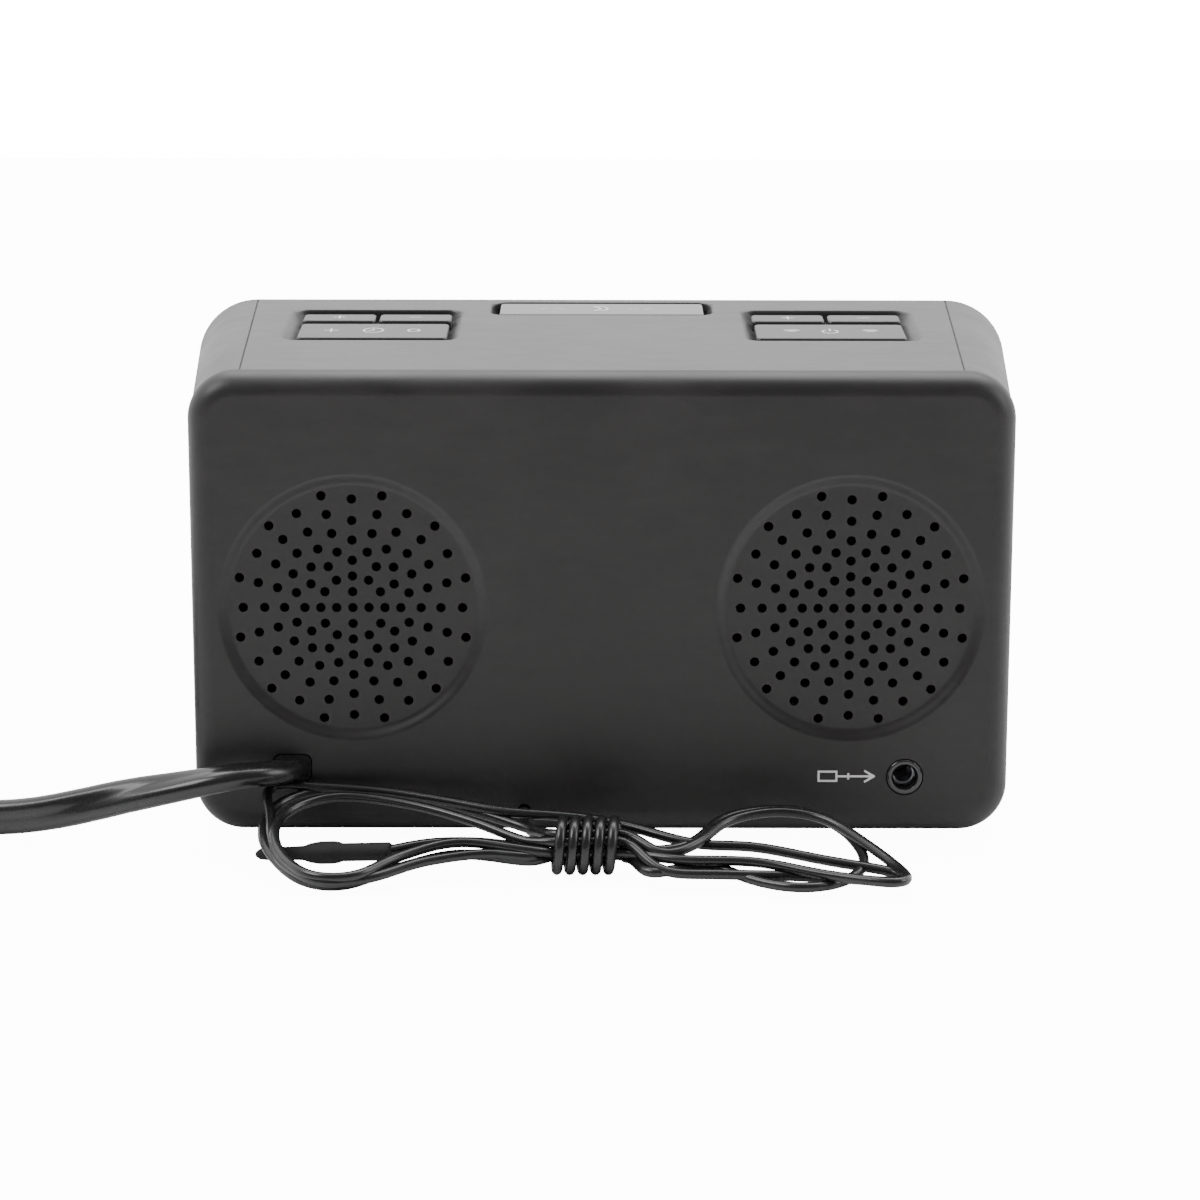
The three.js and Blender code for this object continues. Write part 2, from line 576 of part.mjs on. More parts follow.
function addScrewsAndFeet() {
  for (const [end, y] of Object.entries(SCREW_Y)) {
    for (const [name, s] of SIDES) {
      const z0 = FLOOR_Z + SCREW.wellDeep - SCREW.headHigh - 0.1;
      const x = s * SCREW_X;
      const head = rod([x, y, z0], SCREW.head, SCREW.headHigh, 16);
      const shank = rod([x, y, z0 + 0.5], SCREW.shank, SCREW.length, 10);
      add(`screw_${end}_${name}`, head.add(shank), MATERIAL.steel);
    }
  }
  for (const [x, y] of footPlaces()) {
    const name = `foot_${y > 0 ? "rear" : "front"}_${x > 0 ? "right" : "left"}`;
    add(name, rod([x, y, 0], FOOT.radius, FOOT.thick), MATERIAL.rubber);
  }
}

// ---------------------------------------------------------------- mains lead
const LEAD_RADIUS = 1.9; // the plain tube; the lead is 6.0 by 3.6
const LEAD_POINTS = [
  [SLOT.x, REAR_Y + 2 * GAP, SLOT.z],
  [52.7, 34.8, 13],
  [55.3, 38.1, 13.3],
  [59.4, 40.3, 13.5],
  [65.1, 40.8, 12.6],
  [71.7, 39.6, 11.1],
  [79.2, 37.4, 9.2],
  [86.8, 34.9, 6.9],
  [94.3, 32.5, 4.9],
  [102.2, 30, 3.6],
  [111.3, 27.2, 3.2],
  [121, 24.2, 3.2],
  [130, 21.6, 3.2],
  [138.5, 20, 3.2],
];
const COIL = { x: 157, y: -19, inner: 25.6, outer: 40.5, low: 0.2, high: 12.2 };
// The tail leaves the coil's top, curves inwards over it and ends in the plug, which lies on the coil.
const TAIL_POINTS = [
  [171.35, 16.5, 14.6],
  [177.3, 13.2, 15.6],
  [182.3, 8.5, 16.8],
  [186, 2.8, 18.1],
  [188.3, -3.6, 19.1],
  [188.9, -9.5, 19.35],
];
const PLUG = { width: 35.3, high: 13.7, long: 32, tail: 13, pin: 2, pinLong: 19, spacing: 18.6 };

function addMainsLead() {
  const plate = { width: 11, height: 10, thick: 3 };
  const inSlot = { width: SLOT.width - 0.4, height: SLOT.height - 0.4 };
  const at = [SLOT.x, SLOT.z];
  const neck = slabY(at, inSlot.width, inSlot.height, SLOT.corner, COVER_INNER_Y - 1, REAR_Y);
  const inside = COVER_INNER_Y - GAP;
  const grip = slabY(at, plate.width, plate.height, 1, inside - plate.thick, inside);
  add("cord_grip", neck.add(grip), MATERIAL.rubber);
  add("mains_lead", tube(LEAD_POINTS, LEAD_RADIUS, 8, 30), MATERIAL.cord);
  const ring = [
    [COIL.inner, COIL.low],
    [COIL.outer, COIL.low],
    [COIL.outer, COIL.high],
    [COIL.inner, COIL.high],
    [COIL.inner, COIL.low],
  ].map(([r, z]) => new THREE.Vector2(r, z));
  const coil = new THREE.LatheGeometry(ring, 32).rotateX(Math.PI / 2).translate(COIL.x, COIL.y, 0);
  add("mains_lead_coil", solid(coil), MATERIAL.cord);
  add("mains_lead_tail", tube(TAIL_POINTS, LEAD_RADIUS, 8, 20), MATERIAL.cord);
  const [x, y, z] = TAIL_POINTS.at(-1);
  const start = y - GAP;
  const ringAt = (width, height, corner, yy) =>
    roundedOutline(width, height, corner, 3).map(([px, pz]) => [px + x, yy, pz + z]);
  const body = loft([
    ringAt(PLUG.tail, PLUG.tail * 0.7, 3, start),
    ringAt(PLUG.width * 0.8, PLUG.high, 5, start - PLUG.long * 0.45),
    ringAt(PLUG.width, PLUG.high, 5, start - PLUG.long),
  ]);
  add("plug_body", body, MATERIAL.cord);
  for (const [name, s] of SIDES) {
    const px = x + (s * PLUG.spacing) / 2;
    const pin = rodY([px, start - PLUG.long - GAP - PLUG.pinLong, z], PLUG.pin, PLUG.pinLong, 12);
    add(`plug_pin_${name}`, pin, MATERIAL.brass);
  }
}

// ---------------------------------------------------------------- wire aerial
const HANK = { thick: 3.4, tilt: 16, waist: 9, left: 51, right: 57.5, lobe: 31 };
const AERIAL_POINTS = [
  [AERIAL.x, REAR_Y + GAP, AERIAL.z],
  [AERIAL.x, REAR_Y + 3, AERIAL.z - 0.2],
  [AERIAL.x - 1, REAR_Y + 6, AERIAL.z - 0.5],
];
const TIP = { x0: 36.4, x1: 59, y: 42.6, wide: 4, high: 2.6 };

function addWireAerial() {
  add("aerial_wire", tube(AERIAL_POINTS, AERIAL.radius, 8, 4), MATERIAL.cord);
  const waist = HANK.waist / 2;
  const lobe = HANK.lobe / 2;
  const outline = new THREE.Shape();
  outline.moveTo(0, -waist);
  outline.bezierCurveTo(18, -waist, 24, -lobe, HANK.right - lobe, -lobe);
  outline.absarc(HANK.right - lobe, 0, lobe, -Math.PI / 2, Math.PI / 2, false);
  outline.bezierCurveTo(24, lobe, 18, waist, 0, waist);
  outline.bezierCurveTo(-18, waist, -22, lobe, -HANK.left + lobe, lobe);
  outline.absarc(-HANK.left + lobe, 0, lobe, Math.PI / 2, (3 * Math.PI) / 2, false);
  outline.bezierCurveTo(-22, -lobe, -18, -waist, 0, -waist);
  const settings = { depth: HANK.thick, bevelEnabled: false, curveSegments: 8 };
  const hank = solid(new THREE.ExtrudeGeometry(outline, settings));
  const rise = lobe * Math.sin(THREE.MathUtils.degToRad(HANK.tilt)) + 0.2;
  const reach = REAR_Y + lobe + 1.5;
  add("aerial_hank", hank.rotate([-HANK.tilt, 0, 0]).translate([0, reach, rise]), MATERIAL.cord);
  const tip = box([TIP.x0, TIP.y - TIP.wide / 2, 0.2], [TIP.x1, TIP.y + TIP.wide / 2, TIP.high]);
  add("aerial_tip", tip, MATERIAL.rubber);
}

addCabinet();
addRearCover();
addFrontBezel();
addDisplay();
addKeys();
addSpeakers();
addTransformer();
addAmAerial();
addSocket();
addScrewsAndFeet();
addMainsLead();
addWireAerial();

export default radio;
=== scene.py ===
"""A mains clock radio seen from all sides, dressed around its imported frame.

Sizes are in millimetres in the radio's frame: X is the width, the display faces -Y, the rear
cover faces +Y and +Z is up. MM turns them into metres where a mesh or a material is made.
"""

from __future__ import annotations

import json
import logging
import math
from dataclasses import dataclass
from enum import Enum
from typing import Any, Callable, Sequence

import bmesh
import bpy
import numpy as np
from mathutils import Matrix, Vector
from mathutils.geometry import delaunay_2d_cdt


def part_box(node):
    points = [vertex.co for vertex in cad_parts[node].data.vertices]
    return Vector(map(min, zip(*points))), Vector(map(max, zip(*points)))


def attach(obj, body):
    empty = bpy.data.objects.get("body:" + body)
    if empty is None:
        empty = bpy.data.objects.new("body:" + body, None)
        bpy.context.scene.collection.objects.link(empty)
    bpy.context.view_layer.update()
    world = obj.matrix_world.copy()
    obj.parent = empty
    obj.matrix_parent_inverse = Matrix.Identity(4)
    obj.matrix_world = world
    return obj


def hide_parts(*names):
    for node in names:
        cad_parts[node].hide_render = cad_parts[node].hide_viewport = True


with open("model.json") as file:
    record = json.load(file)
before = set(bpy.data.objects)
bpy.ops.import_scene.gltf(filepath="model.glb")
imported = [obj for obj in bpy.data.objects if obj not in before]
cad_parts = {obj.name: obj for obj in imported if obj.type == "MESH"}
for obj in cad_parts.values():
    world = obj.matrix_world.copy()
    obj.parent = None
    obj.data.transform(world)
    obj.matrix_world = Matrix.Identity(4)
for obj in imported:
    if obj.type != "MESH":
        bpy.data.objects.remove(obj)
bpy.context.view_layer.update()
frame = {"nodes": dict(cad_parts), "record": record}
LOG = logging.getLogger("clock_radio")
MM = 0.001

Place = Callable[[np.ndarray], np.ndarray]


class Body(str, Enum):
    """The bodies that pieces ride on."""

    RADIO = "radio"
    POWER = "power_key"
    VOLUME_DOWN = "volume_down_key"
    VOLUME_UP = "volume_up_key"
    TIME = "time_key"
    HOUR = "hour_key"
    MINUTE = "minute_key"
    SNOOZE = "snooze_bar"


# ------------------------------------------------------------------ where the frame puts things
def node_box(node: str) -> tuple[np.ndarray, np.ndarray]:
    """Gives a node's lowest and highest corners.

    Args:
        node: The CAD node's name.

    Returns:
        Two arrays of x, y and z in millimetres.
    """
    low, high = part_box(node)
    return np.array(low) / MM, np.array(high) / MM


COVER_LOW, COVER_HIGH = node_box("rear_cover")
CASE_LOW, CASE_HIGH = node_box("cabinet")
BEZEL_LOW, BEZEL_HIGH = node_box("front_bezel")
REAR_Y = float(COVER_HIGH[1])
FRONT_Y = float(BEZEL_LOW[1])
FLOOR_Z = float(CASE_LOW[2])
RIM_REAR_Y = float(CASE_HIGH[1])
RIM_FRONT_Y = float(CASE_LOW[1])
CABINET_DEPTH = RIM_REAR_Y - RIM_FRONT_Y
COVER_WIDTH = float(COVER_HIGH[0] - COVER_LOW[0])
COVER_HEIGHT = float(COVER_HIGH[2] - COVER_LOW[2])
FRONT_WIDTH = float(BEZEL_HIGH[0] - BEZEL_LOW[0])
FRONT_HEIGHT = float(BEZEL_HIGH[2] - BEZEL_LOW[2])
COVER_CORNER, FRONT_CORNER, COVER_PROUD = 8.2, 10.9, 0.3
JOINT_GAP = 0.3
AERIAL_HOLE = (13.0, 5.2)
AERIAL_HOLE_RADIUS = 1.2
RIM_WIDTH = COVER_WIDTH - 2 * COVER_PROUD
RIM_HEIGHT = COVER_HEIGHT - COVER_PROUD
SLOPE = math.atan2(FRONT_HEIGHT - RIM_HEIGHT, CABINET_DEPTH)


def on_deck(points: np.ndarray) -> np.ndarray:
    """Moves points from the sloping top's own frame to the radio's.

    x stays; y is the distance up the slope from the rear rim, and z stands along its normal.

    Args:
        points: An array of (..., 3).

    Returns:
        An array of the same shape.
    """
    x, d, n = points[..., 0], points[..., 1], points[..., 2]
    y = RIM_REAR_Y - d * math.cos(SLOPE) + n * math.sin(SLOPE)
    z = FLOOR_Z + RIM_HEIGHT + d * math.sin(SLOPE) + n * math.cos(SLOPE)
    return np.stack([x, y, z], axis=-1)


# ------------------------------------------------------------------ outlines and surfaces
def rounded(
    width: float, height: float, radius: float, steps: int = 10, at: tuple[float, float] = (0, 0)
) -> np.ndarray:
    """Gives a rounded rectangle: four quarter circles joined by straight sides.

    Args:
        width: Its size along the first axis.
        height: Its size along the second axis.
        radius: The radius of its corners.
        steps: How many chords each corner has.
        at: Its middle.

    Returns:
        An array of (4 * (steps + 1), 2), anticlockwise from the +first side.
    """
    radius = max(radius, 0.05)
    corner = np.repeat(np.arange(4), steps + 1)
    angle = (corner + np.tile(np.linspace(0, 1, steps + 1), 4)) * math.pi / 2
    cx = np.where((corner == 0) | (corner == 3), 1, -1) * (width / 2 - radius)
    cy = np.where(corner < 2, 1, -1) * (height / 2 - radius)
    return np.stack([at[0] + cx + radius * np.cos(angle), at[1] + cy + radius * np.sin(angle)], axis=-1)


def circle(radius: float, sides: int = 20, at: tuple[float, float] = (0, 0)) -> np.ndarray:
    """Gives a circle of points, the middle plus radius times cosine and sine of the angle.

    Args:
        radius: Its radius.
        sides: How many points it has.
        at: Its middle.

    Returns:
        An array of (sides, 2).
    """
    angle = np.arange(sides) * 2 * math.pi / sides
    return np.stack([at[0] + radius * np.cos(angle), at[1] + radius * np.sin(angle)], axis=-1)


def inside(points: np.ndarray, loops: Sequence[np.ndarray]) -> np.ndarray:
    """Says which points lie inside an odd number of loops, by counting edge crossings to the right.

    Args:
        points: An array of (n, 2).
        loops: The closed outlines.

    Returns:
        A boolean array of (n,).
    """
    odd = np.zeros(len(points), bool)
    x, y = points[:, 0, None], points[:, 1, None]
    for loop in loops:
        a, b = loop[None], np.roll(loop, -1, axis=0)[None]
        straddles = (a[..., 1] > y) != (b[..., 1] > y)
        rise = np.where(b[..., 1] == a[..., 1], 1e-12, b[..., 1] - a[..., 1])
        cross = a[..., 0] + (y - a[..., 1]) * (b[..., 0] - a[..., 0]) / rise
        odd ^= (np.sum(straddles & (x < cross), axis=1) % 2).astype(bool)
    return odd


class Skin:
    """Surfaces in millimetres that are gathered and welded into one mesh."""

    def __init__(self) -> None:
        """Starts with nothing in it."""
        self.points: list[np.ndarray] = []
        self.faces: list[tuple[int, ...]] = []
        self.count = 0

    def _take(self, points: np.ndarray, faces: np.ndarray) -> None:
        """Adds points and the faces between them."""
        self.points.append(points.reshape(-1, 3))
        self.faces += [tuple(row) for row in (faces + self.count).tolist()]
        self.count += len(self.points[-1])

    def grid(self, rings: np.ndarray, closed: bool = True, flip: bool = False) -> None:
        """Adds the four-sided faces between each ring and the next.

        Args:
            rings: An array of (rings, points, 3).
            closed: Whether each ring's last point joins its first.
            flip: Whether the faces are turned over.
        """
        rows, columns = rings.shape[:2]
        r, c = np.meshgrid(np.arange(rows - 1), np.arange(columns if closed else columns - 1), indexing="ij")
        n = (c + 1) % columns
        faces = np.stack([r * columns + c, r * columns + n, (r + 1) * columns + n, (r + 1) * columns + c], -1)
        faces = faces.reshape(-1, 4)
        self._take(rings, faces[:, ::-1] if flip else faces)

    def plate(self, loops: Sequence[np.ndarray], place: Place, flip: bool = False) -> None:
        """Adds a flat plate: triangles inside an odd number of loops, so inner loops are holes.

        Args:
            loops: The outlines, each of (n, 2).
            place: Turns the flat points, with a third value of 0, into the radio's frame.
            flip: Whether the faces are turned over.
        """
        flat = np.concatenate(loops)
        starts = np.cumsum([0] + [len(loop) for loop in loops])
        edges = [
            (int(s + i), int(s + (i + 1) % len(loop)))
            for s, loop in zip(starts[:-1], loops)
            for i in range(len(loop))
        ]
        made = delaunay_2d_cdt([tuple(p) for p in flat.tolist()], edges, [], 0, 1e-5)
        points = np.array([tuple(p) for p in made[0]])
        faces = np.array([f for f in made[2] if len(f) == 3])
        faces = faces[inside(points[faces].mean(axis=1), loops)]
        solid = np.concatenate([points, np.zeros((len(points), 1))], axis=1)
        self._take(place(solid), faces[:, ::-1] if flip else faces)

    def cap(self, ring: np.ndarray, flip: bool = False) -> None:
        """Adds one many-sided face that closes a ring.

        Args:
            ring: An array of (points, 3).
            flip: Whether the face is turned over.
        """
        face = np.arange(len(ring))[None]
        self._take(ring, face[:, ::-1] if flip else face)

    def loft(self, rings: np.ndarray) -> "Skin":
        """Adds a closed solid through rings: its sides and both its ends.

        Args:
            rings: An array of (rings, points, 3).

        Returns:
            This skin.
        """
        self.grid(rings)
        self.cap(rings[0], flip=True)
        self.cap(rings[-1])
        return self

    def lathe(
        self, profile: Sequence[tuple[float, float]], at: Sequence[float], sides: int = 48, flip: bool = False
    ) -> None:
        """Adds a profile of (radius, height) turned about the Y direction through a point.

        A point is the middle plus radius times cosine and sine in X and Z, and height along Y.

        Args:
            profile: The profile's points.
            at: The point that its heights are measured from.
            sides: How many steps go round.
            flip: Whether the faces are turned over.
        """
        angle = np.arange(sides) * 2 * math.pi / sides
        line = np.array(profile)
        x = at[0] + line[:, :1] * np.cos(angle)
        z = at[2] + line[:, :1] * np.sin(angle)
        y = at[1] + np.repeat(line[:, 1:], sides, axis=1)
        self.grid(np.stack([x, y, z], axis=-1), flip=flip)

    def object(
        self, name: str, thick: float = 0.0, sharp: float = 35.0, recalculate: bool = False
    ) -> bpy.types.Object:
        """Makes the welded mesh an object at the origin.

        Args:
            name: The object's name.
            thick: A wall grown inwards from the surface, or 0 for none.
            sharp: The angle in degrees past which an edge stays sharp.
            recalculate: Whether its faces are turned outwards afresh.

        Returns:
            The new object.
        """
        mesh = bpy.data.meshes.new(name)
        mesh.from_pydata((np.concatenate(self.points) * MM).tolist(), [], self.faces)
        work = bmesh.new()
        work.from_mesh(mesh)
        bmesh.ops.remove_doubles(work, verts=work.verts, dist=2e-6)
        bmesh.ops.dissolve_degenerate(work, edges=work.edges, dist=1e-7)
        if recalculate:
            bmesh.ops.recalc_face_normals(work, faces=work.faces)
        work.to_mesh(mesh)
        work.free()
        piece = bpy.data.objects.new(name, mesh)
        bpy.context.scene.collection.objects.link(piece)
        if thick:
            wall = piece.modifiers.new("wall", "SOLIDIFY")
            wall.thickness = thick * MM
            wall.offset = -1
            settled = bpy.data.meshes.new_from_object(
                piece.evaluated_get(bpy.context.evaluated_depsgraph_get())
            )
            piece.modifiers.clear()
            piece.data = settled
        piece.data.shade_smooth()
        piece.data.set_sharp_from_angle(angle=math.radians(sharp))
        weigh = piece.modifiers.new("weigh", "WEIGHTED_NORMAL")
        weigh.keep_sharp = True
        return piece


def xz(y: float) -> Place:
    """Gives a place that lays flat points upright at a depth y."""
    return lambda p: np.stack([p[..., 0], y + p[..., 2], p[..., 1]], axis=-1)


# ------------------------------------------------------------------ shader building
class Value:
    """A socket that carries a number, with arithmetic that adds Math nodes."""

    def __init__(self, tree: "Paint", socket: bpy.types.NodeSocket) -> None:
        """Wraps a socket of a paint's tree."""
        self.tree = tree
        self.socket = socket

    def _math(self, operation: str, first: Any, second: Any) -> "Value":
        """Adds a Math node on two numbers or values."""
        made = self.tree.node("ShaderNodeMath", {"operation": operation}, {0: first, 1: second})
        return Value(self.tree, made.outputs[0])

    def __add__(self, other: Any) -> "Value":
        """Adds."""
        return self._math("ADD", self, other)

    __radd__ = __add__

    def __mul__(self, other: Any) -> "Value":
        """Multiplies."""
        return self._math("MULTIPLY", self, other)

    __rmul__ = __mul__

    def __sub__(self, other: Any) -> "Value":
        """Subtracts."""
        return self._math("SUBTRACT", self, other)

    def between(self, low: float, high: float) -> "Value":
        """Gives 0 below low, 1 above high and a smooth step between."""
        made = self.tree.node(
            "ShaderNodeMapRange",
            {"interpolation_type": "SMOOTHSTEP"},
            {"Value": self, "From Min": low, "From Max": high},
        )
        return Value(self.tree, made.outputs[0])


class Paint:
    """A material and the nodes that make it, on Object coordinates in metres."""

    def __init__(self, name: str) -> None:
        """Starts a material with a Principled surface."""
        self.material = bpy.data.materials.new(name)
        self.material.use_nodes = True
        self.nodes = self.material.node_tree.nodes
        self.links = self.material.node_tree.links
        self.surface = self.nodes["Principled BSDF"]
        self.place = self.node("ShaderNodeTexCoord", {}, {}).outputs["Object"]

    def node(self, kind: str, settings: dict[str, Any], inputs: dict[Any, Any]) -> bpy.types.Node:
        """Adds a node.

        Args:
            kind: The node's type.
            settings: Its own settings, set first.
            inputs: The values or links of its sockets, by name or number.

        Returns:
            The node.
        """
        made = self.nodes.new(kind)
        for key, value in settings.items():
            setattr(made, key, value)
        for key, value in inputs.items():
            socket = made.inputs[key]
            if isinstance(value, Value):
                self.links.new(value.socket, socket)
            elif isinstance(value, bpy.types.NodeSocket):
                self.links.new(value, socket)
            else:
                socket.default_value = value
        return made

    def noise(
        self, size: float, detail: float = 2.0, stretch: Sequence[float] = (1, 1, 1), seed: float = 0.0
    ) -> Value:
        """Gives a noise about 0.5.

        Args:
            size: The size of its features in millimetres.
            detail: Its octaves.
            stretch: How many times longer they are along each axis.
            seed: Moves the pattern.

        Returns:
            The noise.
        """
        where = self.place
        if tuple(stretch) != (1, 1, 1) or seed:
            turned = self.node(
                "ShaderNodeMapping",
                {},
                {"Vector": self.place, "Scale": [1 / s for s in stretch], "Location": (seed, seed, 0)},
            )
            where = turned.outputs[0]
        made = self.node(
            "ShaderNodeTexNoise", {}, {"Vector": where, "Scale": 1 / (size * MM), "Detail": detail}
        )
        return Value(self, made.outputs[0])

    def tint(self, factor: Value, low: Sequence[float], high: Sequence[float]) -> bpy.types.NodeSocket:
        """Mixes two colours by a value."""
        made = self.node(
            "ShaderNodeMix", {"data_type": "RGBA"}, {0: factor, 6: (*low, 1.0), 7: (*high, 1.0)}
        )
        return made.outputs[2]

    def bump(self, height: Value, depth: float) -> None:
        """Raises the surface by a height, to a depth in millimetres."""
        made = self.node("ShaderNodeBump", {}, {"Height": height, "Distance": depth * MM, "Strength": 1.0})
        self.links.new(made.outputs[0], self.surface.inputs["Normal"])

    def feed(self, name: str, source: Any) -> None:
        """Links a value or socket to the surface."""
        socket = source.socket if isinstance(source, Value) else source
        self.links.new(socket, self.surface.inputs[name])

    def fix(self, **values: Any) -> None:
        """Sets uniform values on the surface, with _ for a space in a socket's name."""
        for name, value in values.items():
            self.surface.inputs[name.replace("_", " ")].default_value = value


@dataclass(frozen=True)
class Moulded:
    """Moulded plastic or rubber: spark-eroded grain, a drift in sheen, rubbed patches and dust.

    Attributes:
        dark: Its colour in the hollows.
        light: Its colour where it is rubbed.
        sheen: Its roughness.
        drift: How far the roughness wanders.
        grain: The grain's size in millimetres.
        relief: The grain's depth in millimetres.
        gloss: The specular level.
        coat: A clear layer's weight.
        dust: How much dust lies on it.
    """

    dark: tuple[float, float, float]
    light: tuple[float, float, float]
    sheen: float
    drift: float = 0.06
    grain: float = 0.35
    relief: float = 0.012
    gloss: float = 0.5
    coat: float = 0.0
    dust: float = 0.0

    def paint(self, name: str) -> bpy.types.Material:
        """Makes the material."""
        p = Paint(name)
        fine = p.noise(self.grain, 2.0)
        broad = p.noise(18.0, 3.0, seed=0.3)
        rub = p.noise(2.6, 4.0, (3.5, 1, 1), seed=0.7)
        wear = (broad * 0.6 + rub * 0.4).between(0.38, 0.66)
        speck = p.noise(0.55, 1.0, seed=1.3).between(0.74, 0.8) * self.dust
        pale = [min(1.0, 2.2 * v + 0.05) for v in self.light]
        toned = p.tint(wear * 0.8 + fine * 0.2, self.dark, self.light)
        mixed = p.node("ShaderNodeMix", {"data_type": "RGBA"}, {0: speck, 6: toned, 7: (*pale, 1.0)})
        p.feed("Base Color", mixed.outputs[2])
        p.feed("Roughness", self.sheen + (wear - 0.5) * self.drift + (fine - 0.5) * (self.drift * 0.8))
        p.bump(fine * 0.8 + p.noise(self.grain * 3.1, 2.0, seed=0.5) * 0.2, self.relief)
        p.fix(Specular_IOR_Level=self.gloss, Coat_Weight=self.coat, Coat_Roughness=0.06)
        return p.material


@dataclass(frozen=True)
class Metal:
    """Worked metal: fine drawn lines along an axis, smudges, and a slight change of tone.

    Attributes:
        dark: Its colour in the lines.
        light: Its colour between them.
        sheen: Its roughness.
        along: How much longer the lines are than wide, on each axis.
        line: The lines' width in millimetres.
        relief: Their depth in millimetres.
    """

    dark: tuple[float, float, float]
    light: tuple[float, float, float]
    sheen: float
    along: tuple[float, float, float] = (1, 30, 1)
    line: float = 0.12
    relief: float = 0.002

    def paint(self, name: str) -> bpy.types.Material:
        """Makes the material."""
        p = Paint(name)
        lines = p.noise(self.line, 2.0, self.along)
        smudge = p.noise(5.0, 3.0, seed=0.4).between(0.35, 0.7)
        p.feed("Base Color", p.tint(lines * 0.5 + smudge * 0.5, self.dark, self.light))
        p.feed("Roughness", self.sheen + smudge * 0.12 + lines * 0.08)
        p.bump(lines, self.relief)
        p.fix(Metallic=1.0)
        return p.material


@dataclass(frozen=True)
class Winding:
    """Lacquered wire laid turn by turn: fine bands across an axis.

    Attributes:
        axis: The axis that the bands are stacked along, X, Y or Z.
        pitch: One turn in millimetres.
    """

    axis: str
    pitch: float = 0.35

    def paint(self, name: str) -> bpy.types.Material:
        """Makes the material."""
        p = Paint(name)
        wave = p.node(
            "ShaderNodeTexWave",
            {"bands_direction": self.axis},
            {"Vector": p.place, "Scale": 0.314 / (self.pitch * MM), "Distortion": 0.4},
        )
        band = Value(p, wave.outputs[1])
        p.feed("Base Color", p.tint(band, (0.16, 0.05, 0.02), (0.62, 0.27, 0.1)))
        p.feed("Roughness", 0.3 + p.noise(3.0) * 0.15)
        p.bump(band, 0.05)
        p.fix(Metallic=0.9)
        return p.material


@dataclass(frozen=True)
class Glow:
    """A lit segment behind tinted plastic, brighter in its middle by a soft mottling."""

    colour: tuple[float, float, float]
    strength: float

    def paint(self, name: str) -> bpy.types.Material:
        """Makes the material."""
        p = Paint(name)
        soft = p.noise(1.5).between(0.2, 0.8)
        p.feed("Emission Color", p.tint(soft, [0.8 * c for c in self.colour], self.colour))
        p.feed("Roughness", 0.25 + soft * 0.1)
        p.fix(Base_Color=(*self.colour, 1.0), Emission_Strength=self.strength)
        return p.material


COVER_FINISH = Moulded((0.016, 0.0145, 0.0145), (0.024, 0.022, 0.022), 0.42, 0.07, 0.3, 0.010, 0.42)
CASE_FINISH = Moulded((0.045, 0.045, 0.046), (0.07, 0.07, 0.072), 0.4, 0.1, 0.42, 0.03, 0.55, 0.0, 0.25)
KEY_FINISH = Moulded((0.03, 0.03, 0.031), (0.042, 0.042, 0.044), 0.3, 0.06, 0.3, 0.006, 0.55)
GLOSS_FINISH = Moulded((0.008, 0.008, 0.009), (0.014, 0.014, 0.015), 0.13, 0.05, 0.6, 0.001, 0.5, 0.5)
WINDOW_FINISH = Moulded((0.012, 0.004, 0.004), (0.018, 0.007, 0.007), 0.06, 0.03, 0.8, 0.0005, 0.55, 1.0)
RUBBER_FINISH = Moulded((0.012, 0.012, 0.012), (0.024, 0.024, 0.024), 0.75, 0.1, 0.4, 0.02, 0.3)
CORD_FINISH = Moulded((0.01, 0.01, 0.0105), (0.018, 0.018, 0.019), 0.27, 0.08, 0.5, 0.006, 0.5, 0.15)
BOARD_FINISH = Moulded((0.008, 0.09, 0.03), (0.03, 0.17, 0.06), 0.4, 0.1, 1.2, 0.02, 0.5)
PAPER_FINISH = Moulded((0.02, 0.018, 0.016), (0.045, 0.042, 0.038), 0.85, 0.06, 0.5, 0.05, 0.2)
LEGEND_FINISH = Moulded((0.62, 0.62, 0.62), (0.8, 0.8, 0.8), 0.5, 0.08, 0.3, 0.002, 0.4)
FERRITE_FINISH = Moulded((0.03, 0.03, 0.031), (0.06, 0.06, 0.062), 0.7, 0.1, 0.5, 0.02, 0.4)
STEEL_FINISH = Metal((0.42, 0.43, 0.45), (0.62, 0.63, 0.65), 0.26)
PIN_FINISH = Metal((0.5, 0.47, 0.4), (0.74, 0.71, 0.63), 0.2)

SLOT_FINISH: dict[str, Any] = {
    "cabinet_plastic": CASE_FINISH,
    "cover_plastic": COVER_FINISH,
    "bezel_gloss": GLOSS_FINISH,
    "window_tint": WINDOW_FINISH,
    "display_housing": Moulded((0.02, 0.02, 0.023), (0.035, 0.035, 0.04), 0.6),
    "circuit_board": BOARD_FINISH,
    "key_plastic": KEY_FINISH,
    "snooze_gloss": GLOSS_FINISH,
    "plain_steel": STEEL_FINISH,
    "copper_winding": Winding("Z"),
    "ferrite": FERRITE_FINISH,
    "rubber_black": RUBBER_FINISH,
    "cord_pvc": CORD_FINISH,
    "plug_metal": PIN_FINISH,
    "cone_paper": PAPER_FINISH,
    "legend": LEGEND_FINISH,
    "digits": Glow((1.0, 0.1, 0.05), 3.0),
}
PAINTED: dict[str, bpy.types.Material] = {}


